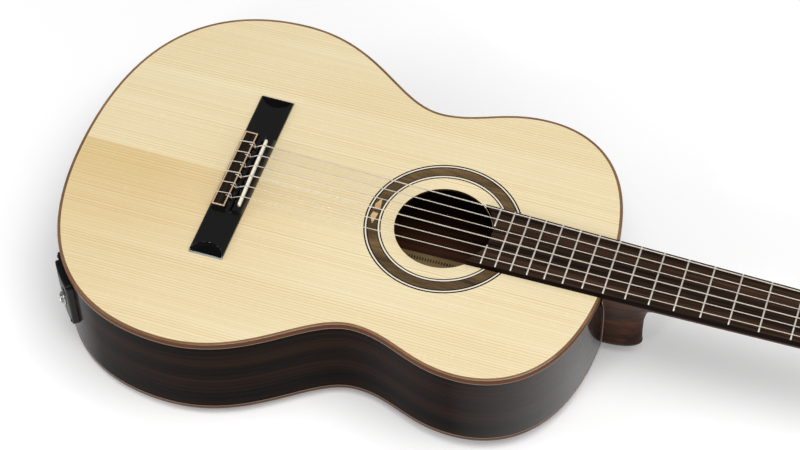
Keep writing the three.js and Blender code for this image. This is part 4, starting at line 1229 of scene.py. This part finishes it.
def strings():
    for i, (node, diameter, is_wound) in enumerate(STRINGS):
        radius = diameter / 2
        finish = (WOUND, "wound_string") if is_wound else (NYLON, "nylon")
        y_bridge = string_y(i, SADDLE_SPACING)
        # its first turn stays with it, so that a turning roller only carries the others
        first_turn = coil(i, 0, FIRST_TURN, FIRST_PITCH)
        top = SADDLE_TOP - 0.5 * (y_bridge / SADDLE_HALF) ** 2 + radius + 0.1
        over = TRIM_TOP + radius
        behind = TIE_BACK - radius - 0.4
        route = [
            (TIE_FRONT + 1.1, y_bridge + 1.2, TIE_HOLE_Z + 1.2),
            (TIE_FRONT + 0.7, y_bridge + 1.3, over),
            (TIE_BACK + 1, y_bridge + 0.2, over),
            (behind, y_bridge, over - 0.4),
            (behind, y_bridge, TIE_HOLE_Z),
            (TIE_FRONT + 1.2, y_bridge, TIE_HOLE_Z),
            (SADDLE_X - math.tan(SADDLE_SLANT) * y_bridge, y_bridge, top),
            (NUT_X + 1.4, string_y(i, NUT_SPACING), NUT_TOP + radius + 0.1),
            first_turn[0],
        ]
        points = rounded_route(route, 1.1) + first_turn[1:]
        make(f"{node}_line", tube(points, radius, 10), *finish, stands_for=[node])
        # the hitch round the string in front of the tie block, with its end tucked back
        hitch = []
        for k in range(25):
            turn = math.radians(-100 + 330 * k / 24)
            hitch.append(Vector((
                TIE_FRONT + 0.9 + radius + 0.7 * k / 24,
                y_bridge + diameter * math.cos(turn),
                TIE_HOLE_Z + 0.9 + diameter * math.sin(turn),
            )))
        tail = [
            hitch.pop(),
            (TIE_FRONT + 0.9, y_bridge - 1.5, TIE_TOP),
            (TIE_FRONT + 0.2, y_bridge - 1.7, over - 0.1),
            (TIE_FRONT - 2.6, y_bridge - 1.2, over),
        ]
        make(f"{node}_hitch", tube(hitch + rounded_route(tail, 0.8), radius * 0.9, 8), *finish)
        # the other turns ride on the roller
        points = coil(i, FIRST_TURN * FIRST_PITCH + 1.06, 2.6, 1.04)
        make(f"{node}_turns", tube(points, radius, 8), *finish, f"roller_{i + 1}")


# ---------------------------------------------------------------- jack plate and battery drawer

PLATE = (-21.5, 21.5, -66.5, -10.5)
RAISED = (-13.5, 21.5, -66.5, -10.5)
FLANGE_FACE = 2.4
RAISED_FACE = 5.6
DRAWER_FRONT = (DRAWER_Y - SLEEVE[0], DRAWER_Y + SLEEVE[0],
                DRAWER_Z - SLEEVE[1] - 0.8, DRAWER_Z + SLEEVE[1] + 0.8)
SLEEVE_DEPTH = 52.5
PLASTIC = (BLACK_PLASTIC, "black_plastic")

# how far out of the plate's frame the rib's face is, at places along it
RIB_POINTS = [RIB.inverted() @ Vector((p.x, p.y, 0)) for p in full_outline(0)]
RIB_CURVE = sorted((p.y, p.x) for p in RIB_POINTS if abs(p.y) < 40 and p.x > -30)


def on_plate(y, z, face):
    """A place at a height over the rib."""
    return RIB @ Matrix.Translation((between(RIB_CURVE, y) + face, y, z))


def pillow(window, low, high, corner, edge):
    """A plate that follows the rib, between two heights over it, with rounded corners and edges."""
    y0, y1, z0, z1 = window
    marks = [0, 0.06, 0.2, 0.45, edge, (edge + corner) / 2, corner]
    bm = bmesh.new()
    rings = []
    for y in lines_between([y0 + m for m in marks] + [y1 - m for m in marks[::-1]], 2):
        end = min(y - y0, y1 - y)
        narrow = corner - math.sqrt(max(0.0, corner**2 - max(0.0, corner - end) ** 2))
        fall = edge - math.sqrt(max(0.0, edge**2 - max(0.0, edge - end) ** 2))
        back = between(RIB_CURVE, y) + low
        centre = between(RIB_CURVE, y) + high - fall - edge
        ring = [
            (back, z0 + narrow),
            (back, z1 - narrow),
            *arc((centre, z1 - narrow - edge), edge, math.pi / 2, -math.pi / 2, 5),
            *arc((centre, z0 + narrow + edge), edge, 0, -math.pi / 2, 5),
        ]
        rings.append(loop(bm, [RIB @ Vector((x, y, z)) for x, z in ring]))
    return loft(bm, rings)


def small_screw(name, place, finish, body="body", radius=2.0):
    """A domed screw head with a slot across it; it stands on the place's own X axis."""
    dome = [(0, 0.9), (0.5 * radius, 0.82), (0.85 * radius, 0.5), (radius, 0.12)]
    profile = [*dome, (radius, -0.6), (0, -0.6)]
    head = make(name, turned(profile, place, 20), *finish, body)
    carve(head, block((0.35, -0.22, -radius), (2, 0.22, radius), place))


def jack_plate():
    flange = make("jack_flange", pillow(PLATE, 0.1, FLANGE_FACE, 4, 0.9), *PLASTIC, stands_for=["jack_plate"])
    housing = make("jack_housing", pillow(RAISED, FLANGE_FACE - 0.4, RAISED_FACE, 4, 1.2), *PLASTIC)
    y0, y1, z0, z1 = DRAWER_FRONT
    for piece in (flange, housing):
        carve(piece, block((-5, y0 - PLAY, z0 - PLAY), (20, y1 + PLAY, z1 + PLAY), RIB))
        carve(piece, rod(JACK_HOLE, -20, 20, JACK, 32))
    z0, z1 = DRAWER_Z - SLEEVE[1], DRAWER_Z + SLEEVE[1]
    wall = 1.2
    sleeve = make("drawer_sleeve", block((-SLEEVE_DEPTH, y0, z0), (0, y1, z1), RIB), *PLASTIC)
    carve(sleeve, block((-SLEEVE_DEPTH + wall, y0 + wall, z0 + wall), (9, y1 - wall, z1 - wall), RIB))
    screws = ((17.6, -62.6, RAISED_FACE), (-9.8, -62.6, RAISED_FACE), (-17.6, -14.4, FLANGE_FACE),
              (-17.6, -62.6, FLANGE_FACE))
    for number, (y, z, face) in enumerate(screws):
        place = on_plate(y, z, face) @ Matrix.Rotation(0.6 + number, 4, "X")
        small_screw(f"jack_screw_{number + 1}", place, PLASTIC, radius=1.7)


def drawer():
    y0, y1 = DRAWER_FRONT[:2]
    lid = pillow(DRAWER_FRONT, FLANGE_FACE + 0.3, RAISED_FACE + 0.2, 2.5, 0.7)
    front = make("drawer_front", lid, *PLASTIC, "drawer", ["battery_drawer"])
    # a dip for a fingertip, and four grooves
    bowl = arc((0, 0), 6.5, -math.pi / 2, math.pi, 16)
    bowl[0], bowl[-1] = (0, -6.5), (0, 6.5)
    carve(front, turned(bowl, on_plate(y1 - 7, DRAWER_Z, RAISED_FACE + 4.4), 32))
    grooves = bmesh.new()
    for k in range(4):
        y = y0 + 4 + 1.6 * k
        x = between(RIB_CURVE, y) + RAISED_FACE
        block((x - 0.3, y, DRAWER_Z - 8), (x + 2, y + 0.6, DRAWER_Z + 8), RIB, grooves)
    carve(front, grooves)
    y0, y1 = y0 + 1.5, y1 - 1.5
    z0, z1 = DRAWER_Z - SLEEVE[1] + 1.5, DRAWER_Z + SLEEVE[1] - 1.5
    tray = make("drawer_tray", block((-SLEEVE_DEPTH + 1.4, y0, z0), (2.2, y1, z1), RIB), *PLASTIC, "drawer")
    carve(tray, block((-SLEEVE_DEPTH + 2.2, y0 + 0.6, z0 + 0.8), (-1.5, y1 - 0.6, z1 + 9), RIB))


def battery():
    """A nine volt block: a sleeve with two bands and a pair of snaps on its inner end."""
    start, end = -SLEEVE_DEPTH + 2, -SLEEVE_DEPTH + 50.5
    half_y, half_z, middle_z = 13.25, 8.75, -25.05
    corner = 2.2
    bands = [start + 2.4, start + 3.2, start + 14, start + 15, end - 0.8, end]
    bm = bmesh.new()
    rings = []
    for x in bands:
        reach = corner - 0.7 if x in (bands[0], bands[-1]) else corner
        ring = []
        for quarter, (sy, sz) in enumerate(((1, 1), (-1, 1), (-1, -1), (1, -1))):
            centre = (DRAWER_Y + sy * (half_y - corner), middle_z + sz * (half_z - corner))
            ring += arc(centre, reach, math.pi / 2 * quarter, math.pi / 2, 6)
        rings.append(loop(bm, [RIB @ Vector((x, y, z)) for y, z in ring]))
    loft(bm, rings, 1, (1, 1, 1, 0, 1))
    make("battery_cell", bm, [BATTERY_SKIN, NICKEL], "battery_skin", "drawer", ["battery"])
    bm = bmesh.new()
    for y, radius in ((DRAWER_Y - 6.4, 2.8), (DRAWER_Y + 6.4, 4)):
        place = RIB @ Matrix.Translation((start + 2.5, y, middle_z))
        profile = [(0, -0.6), (radius * 0.6, -0.6), (radius * 0.7, -2.1), (radius, -2.3), (radius, 0.2),
                   (0, 0.2)]
        turned(profile, place, 24, bm=bm)
    make("battery_snaps", bm, NICKEL, "nickel", "drawer")


def output_jack():
    thread = []
    for k in range(4):
        thread += [(4.5, 6.2 + 0.65 * k), (4.2, 6.5 + 0.65 * k)]
    barrel = [(3.3, -21.6), (3.6, -22), (6.4, -22), (6.8, -21.6), (6.8, -5.5), (4.5, -5.5), *thread,
              (4.5, 8.8), (4.2, JACK_END), (3.6, JACK_END), (3.3, JACK_END - 0.4)]
    make("jack_barrel", turned(barrel, JACK, 40), NICKEL, "nickel", stands_for=["output_jack"])
    lining = [(3.25, -21), (3.25, 6.8), (2.95, 6.4), (2.95, -21)]
    make("jack_lining", turned(lining, JACK, 40), *PLASTIC)
    washer = [(4.6, 5.65), (7.0, 5.65), (7.0, 6.0), (6.8, 6.2), (4.6, 6.2)]
    make("jack_washer", turned(washer, JACK, 40), NICKEL, "nickel")
    bm = bmesh.new()
    rings = []
    for x, limit in ((6.2, 6.1), (6.5, 6.4), (7.4, 6.4), (7.8, 5.9), (7.8, 4.62), (6.2, 4.62)):
        ring = []
        for turn in turns(72):
            flat = 6.4 * math.cos(math.pi / 6) / math.cos((turn % (math.pi / 3)) - math.pi / 6)
            reach = min(flat, limit)
            ring.append(JACK @ Vector((x, reach * math.cos(turn), reach * math.sin(turn))))
        rings.append(loop(bm, ring))
    make("jack_nut", around(bm, rings), NICKEL, "nickel", sharp=20)


# ---------------------------------------------------------------- head and tuning machines

BRASS_FINISH = (BRASS, "brass")
SWAP_YZ = Matrix(((1, 0, 0, 0), (0, 0, 1, 0), (0, 1, 0, 0), (0, 0, 0, 1)))


def head_outline(start):
    w = HEAD_HALF
    half = [
        *bezier((start, -BOARD_AT_NUT), (22, -BOARD_AT_NUT - 1), (24, -w), (34, -w), 14),
        *((u, -w) for u in range(34, 150, 8)),
        *bezier((150, -w), (158, -w), (160, -w + 3), (165, -w + 4), 10),
        *bezier((165, -w + 4), (178, -w + 6), (HEAD_LENGTH, -16), (HEAD_LENGTH, 0), 18),
    ]
    return half + [(HEAD_LENGTH, 0)] + [(u, -v) for u, v in half[::-1]]


def slot_outline(side):
    u0, u1, v0, v1 = HEAD_SLOT
    radius = (v1 - v0) / 2
    middle = side * (v0 + radius)
    near = arc((u0 + radius, middle), radius, math.pi / 2, math.pi, 12)
    return near + arc((u1 - radius, middle), radius, -math.pi / 2, math.pi, 12)


def across_head(u, radius, v_from, v_to, side, steps, bm):
    """A bar along a roller's axis, for cutting."""
    low, high = sorted((side * v_from, side * v_to))
    rod(radius, low, high, HEAD @ Matrix.Translation((u, 0, ROLLER_W)), steps, "Y", bm)


def head():
    low = -HEAD_THICKNESS
    levels = [(low, 1.6), (low, 1.1), (low + 0.35, 0.45), (low + 1, 0.05), (low + 1.4, 0),
              (-VENEER - 0.04, 0)]
    wood = make("head_core", layered(head_outline(14.1), levels, HEAD), MAHOGANY, "mahogany",
                stands_for=["headstock"])
    levels = [(-VENEER, 0), (-0.5, 0), (-0.15, 0.12), (0, 0.5), (0, 1)]
    face = make("head_face", layered(head_outline(0.25), levels, HEAD), HEAD_WOOD, "rosewood",
                stands_for=["head_veneer"])
    for side in (1, -1):
        for piece in (wood, face):
            carve(piece, prism(slot_outline(side), -40, 20, HEAD))
        holes = bmesh.new()
        for u in ROLLER_U:
            across_head(u, 5.35, 4.5, 60, side, 28, holes)
        carve(wood, holes)


def side_plate(word, side):
    """A strip with scalloped ends, standing for an engraved plate whose engraving isn't drawn, and the lugs that
    hold the three worms.
    """
    u0, u1, w0, w1 = 40, 150, -17.4, -2.6
    ring = []
    for quarter, corner in enumerate(((u0, w0), (u1, w0), (u1, w1), (u0, w1))):
        ring += arc(corner, 3.6, math.pi / 2 * (quarter + 1), -math.pi / 2, 8)
    mirrored = HEAD @ Matrix.Diagonal((1, side, 1, 1))
    levels = [(HEAD_HALF + 0.2, 0), (PLATE_FACE - 0.3, 0), (PLATE_FACE, 0.3)]
    plate = make(f"machine_plate_{word}", layered(ring, levels, mirrored @ SWAP_YZ), *BRASS_FINISH,
                 stands_for=[f"tuner_plate_{word}"])
    holes = bmesh.new()
    for u in ROLLER_U:
        across_head(u, 2.8, 30, 45, side, 24, holes)
    carve(plate, holes)
    outward = Matrix.Rotation(side * math.pi / 2, 4, "Z")
    for number, u in enumerate((45.6, 76.5, 111.5, 144.4)):
        place = HEAD @ Matrix.Translation((u, side * PLATE_FACE, -10)) @ outward
        place = place @ Matrix.Rotation(0.4 + number, 4, "X")
        small_screw(f"machine_screw_{word}_{number + 1}", place, BRASS_FINISH, radius=1.9)
    lugs = bmesh.new()
    for u in ROLLER_U:
        at = u + WORM_OFFSET
        half_turn = [math.pi * k / 12 for k in range(13)]
        edge = [(at - 2.8, PLATE_FACE - 0.1), (at + 2.8, PLATE_FACE - 0.1)]
        edge += [(at + 2.8 * math.cos(t), WORM_V + 2.6 * math.sin(t)) for t in half_turn]
        hole = [(at + 1.55 * math.cos(t), WORM_V + 1.55 * math.sin(t)) for t in turns(16)]
        for low, high in ((-5, -3.4), (-17.4, -15.8)):
            prism(edge, low, high, mirrored, lugs, [hole])
    make(f"machine_lugs_{word}", lugs, *BRASS_FINISH)


def gear_ring():
    """Fourteen rounded teeth; each one is centred 0.45 of a pitch past its start."""
    ring = []
    foot, shoulder = GEAR_ROOT + 0.1, GEAR_TIP - 0.45
    tooth_line = ((0, GEAR_ROOT), (0.14, foot), (0.26, shoulder), (0.35, GEAR_TIP),
                  (0.55, GEAR_TIP), (0.64, shoulder), (0.76, foot), (0.9, GEAR_ROOT))
    for tooth in range(GEAR_TEETH):
        for part, radius in tooth_line:
            turn = 2 * math.pi * (tooth + part) / GEAR_TEETH
            ring.append((radius * math.cos(turn), radius * math.sin(turn)))
    return ring


def roller(number, side, u):
    place = HEAD @ Matrix.Translation((u, 0, ROLLER_W)) @ Matrix.Diagonal((1, side, 1, 1))
    body = f"roller_{number}"
    r, groove, hub = ROLLER_RADIUS, ROLLER_RADIUS - 0.35, GEAR_V - 0.2
    profile = [(0, 5), (3.6, 5), (4.6, 5.3), (r, 5.9), (r, 7.9), (groove, 8.1), (groove, 8.5), (r, 8.7),
               (r, 21.3), (groove, 21.5), (groove, 21.9), (r, 22.1), (r, 33.3), (r - 0.5, 33.85),
               (2.45, 33.9), (2.45, hub), (3.4, hub), (3.4, hub + 0.3), (0, hub + 0.3)]
    make(f"machine_roller_{number}", turned(profile, place, 32, "Y"), *BRASS_FINISH, body,
         [f"string_roller_{number}"])
    top = GEAR_V + GEAR_WIDTH
    levels = ((GEAR_V, 0.25), (GEAR_V + 0.25, 0), (top - 0.25, 0), (top, 0.25))
    make(f"machine_gear_{number}", layered(gear_ring(), levels, place @ SWAP_YZ), *BRASS_FINISH, body)
    outward = Matrix.Rotation(side * math.pi / 2, 4, "Z")
    screw_place = HEAD @ Matrix.Translation((u, side * top, ROLLER_W)) @ outward
    small_screw(f"gear_screw_{number}", screw_place, BRASS_FINISH, body, 2.2)


def worm(number, side, u):
    """A shaft with a right-handed thread that lies in the gear's gaps at rest, and its button."""
    place = HEAD @ Matrix.Translation((u + WORM_OFFSET, side * WORM_V, ROLLER_W))
    body = f"knob_{number}"
    profile = [(0, 8.2), (0.9, 8.1), (1.3, 7.7), (1.3, 5.9), (1.35, 5.8), (1.35, -8.6), (1.3, -8.7),
               (1.3, -14), (2.4, -14.1), (3.2, -14.6), (3.2, -15.4), (2.7, -15.7), (3.2, -16.1),
               (3.2, -17), (0, -17)]
    bm = turned(profile, place, 24, "Z")
    rings = []
    low, high = -6.3, 3.5
    middle = -0.05 * WORM_PITCH
    count = int((high - low) / WORM_PITCH * 20)
    for k in range(count + 1):
        w = low + (high - low) * k / count
        turn = math.pi + 2 * math.pi * (w - middle) / WORM_PITCH
        grown = min(1.0, (w - low) / 0.8 + 0.1, (high - w) / 0.8 + 0.1)
        tip = 1.2 + 1.5 * grown
        ridge = ((1.2, -0.72), (tip, -0.3), (tip, 0.3), (1.2, 0.72))
        ring = [Vector((r * math.cos(turn), r * math.sin(turn), w + h)) for r, h in ridge]
        rings.append(loop(bm, [place @ p for p in ring]))
    make(f"machine_worm_{number}", loft(bm, rings), *BRASS_FINISH, body)
    bm = bmesh.new()
    rings = []
    for k in range(1, 20):
        t = -math.cos(math.pi * k / 20)
        thick = (1 - abs(t) ** 2.4) ** 0.5
        waist = 1 - 0.1 * math.exp(-((t - 0.55) / 0.3) ** 2)
        ring = []
        for turn in turns(36):
            c, s = math.cos(turn), math.sin(turn)
            a = 8.95 * thick * waist * math.copysign(abs(c) ** 0.85, c)
            b = 4.95 * thick**0.8 * math.copysign(abs(s) ** 0.85, s)
            ring.append(place @ Vector((a, b, -25 + 9.45 * t)))
        rings.append(loop(bm, ring))
    make(f"machine_button_{number}", loft(bm, rings), PEARL, "pearl", body, [f"tuner_knob_{number}"])


def machines():
    for word, side in (("bass", 1), ("treble", -1)):
        side_plate(word, side)
        for k, u in enumerate(ROLLER_U):
            number = 6 - k if side > 0 else 1 + k
            roller(number, side, u)
            worm(number, side, u)


# ---------------------------------------------------------------- plain CAD pieces that still show

CAD_FINISH = {
    "inner_spruce": INNER_SPRUCE,
    "rosewood": BACK_WOOD,
    "binding_wood": BINDING_SIDE,
    "mahogany": MAHOGANY,
    "brass": BRASS,
    "pearl": PEARL,
    "black_plastic": BLACK_PLASTIC,
    "battery_skin": BATTERY_SKIN,
    "nickel": NICKEL,
    "paper": PAPER,
}


def finish_cad_nodes():
    slots = {part["node"]: part["material_slot"] for part in frame["record"]["subparts"]}
    for name, node in frame["nodes"].items():
        if slots.get(name) in CAD_FINISH:
            node.data.materials.clear()
            node.data.materials.append(CAD_FINISH[slots[name]])


# ---------------------------------------------------------------- stage, light, camera

VIEW_AZIMUTH = math.radians(19.19)
VIEW_ELEVATION = math.radians(53.19)
VIEW_ROLL = math.radians(-0.985)
VIEW_TARGET = (-188.2, -8.7, 0)
VIEW_DISTANCE = 2055.9
VIEW_LENS = 106.1


def area_light(name, location, target, size, power):
    light = bpy.data.lights.new(name, "AREA")
    light.shape = "RECTANGLE"
    light.size, light.size_y = size
    light.energy = power
    made = add(name, light)
    made.location = location
    made.rotation_mode = "QUATERNION"
    made.rotation_quaternion = (Vector(target) - Vector(location)).to_track_quat("-Z", "Y")


def stage():
    paint = Shader("floor_paint", 0.75)
    tone = paint.curve(paint.noise((2, 2, 2), 3), 0.3, 0.7, 0, 1)
    paint.put("Base Color", paint.mix(tone, (0.94, 0.94, 0.94, 1), (0.91, 0.91, 0.91, 1)))
    paint.put("Emission Color", (1, 1, 1, 1))
    paint.put("Emission Strength", 0.12)
    bm = bmesh.new()
    bmesh.ops.create_grid(bm, x_segments=2, y_segments=2, size=12)
    mesh = as_mesh("floor", bm)
    mesh.materials.append(paint.material)
    floor = add("floor", mesh)
    floor.location.z = CAD_LOW.z - 0.0005
    world = bpy.data.worlds.new("studio")
    world.use_nodes = True
    sky = world.node_tree.nodes["Background"]
    sky.inputs["Color"].default_value = (1, 1, 1, 1)
    sky.inputs["Strength"].default_value = 0.3
    bpy.context.scene.world = world
    bpy.context.scene.view_settings.view_transform = "Standard"
    area_light("top", (0.5, -0.35, 2.6), (0.0, 0, 0.1), (2.2, 1.8), 54)
    area_light("left", (-2.4, -1.0, 1.1), (-0.3, 0, 0), (1.2, 1.0), 14)
    area_light("right", (2.0, -1.6, 1.2), (0.1, 0, 0), (1.0, 1.0), 10)
    area_light("front", (-0.79, -1.89, 1.38), (-0.25, 0, 0.1), (0.4, 0.26), 6)


def camera():
    data = bpy.data.cameras.new("camera")
    data.sensor_width = 36
    data.lens = VIEW_LENS
    made = add("camera", data)
    flat = math.cos(VIEW_ELEVATION)
    away = Vector((math.sin(VIEW_AZIMUTH) * flat, -math.cos(VIEW_AZIMUTH) * flat, math.sin(VIEW_ELEVATION)))
    made.location = TO_ROW @ (Vector(VIEW_TARGET) + away * VIEW_DISTANCE)
    made.rotation_mode = "QUATERNION"
    roll = Matrix.Rotation(VIEW_ROLL, 4, "Z").to_quaternion()
    made.rotation_quaternion = (-away).to_track_quat("-Z", "Y") @ roll
    bpy.context.scene.camera = made


soundboard()
rosette()
ribs_and_bindings()
back()
fretboard()
frets()
neck()
painted_heel_highlights()
heel_cap()
bridge()
saddle()
nut()
tie_block_trim()
strings()
jack_plate()
drawer()
battery()
output_jack()
head()
machines()
finish_cad_nodes()
stage()
camera()
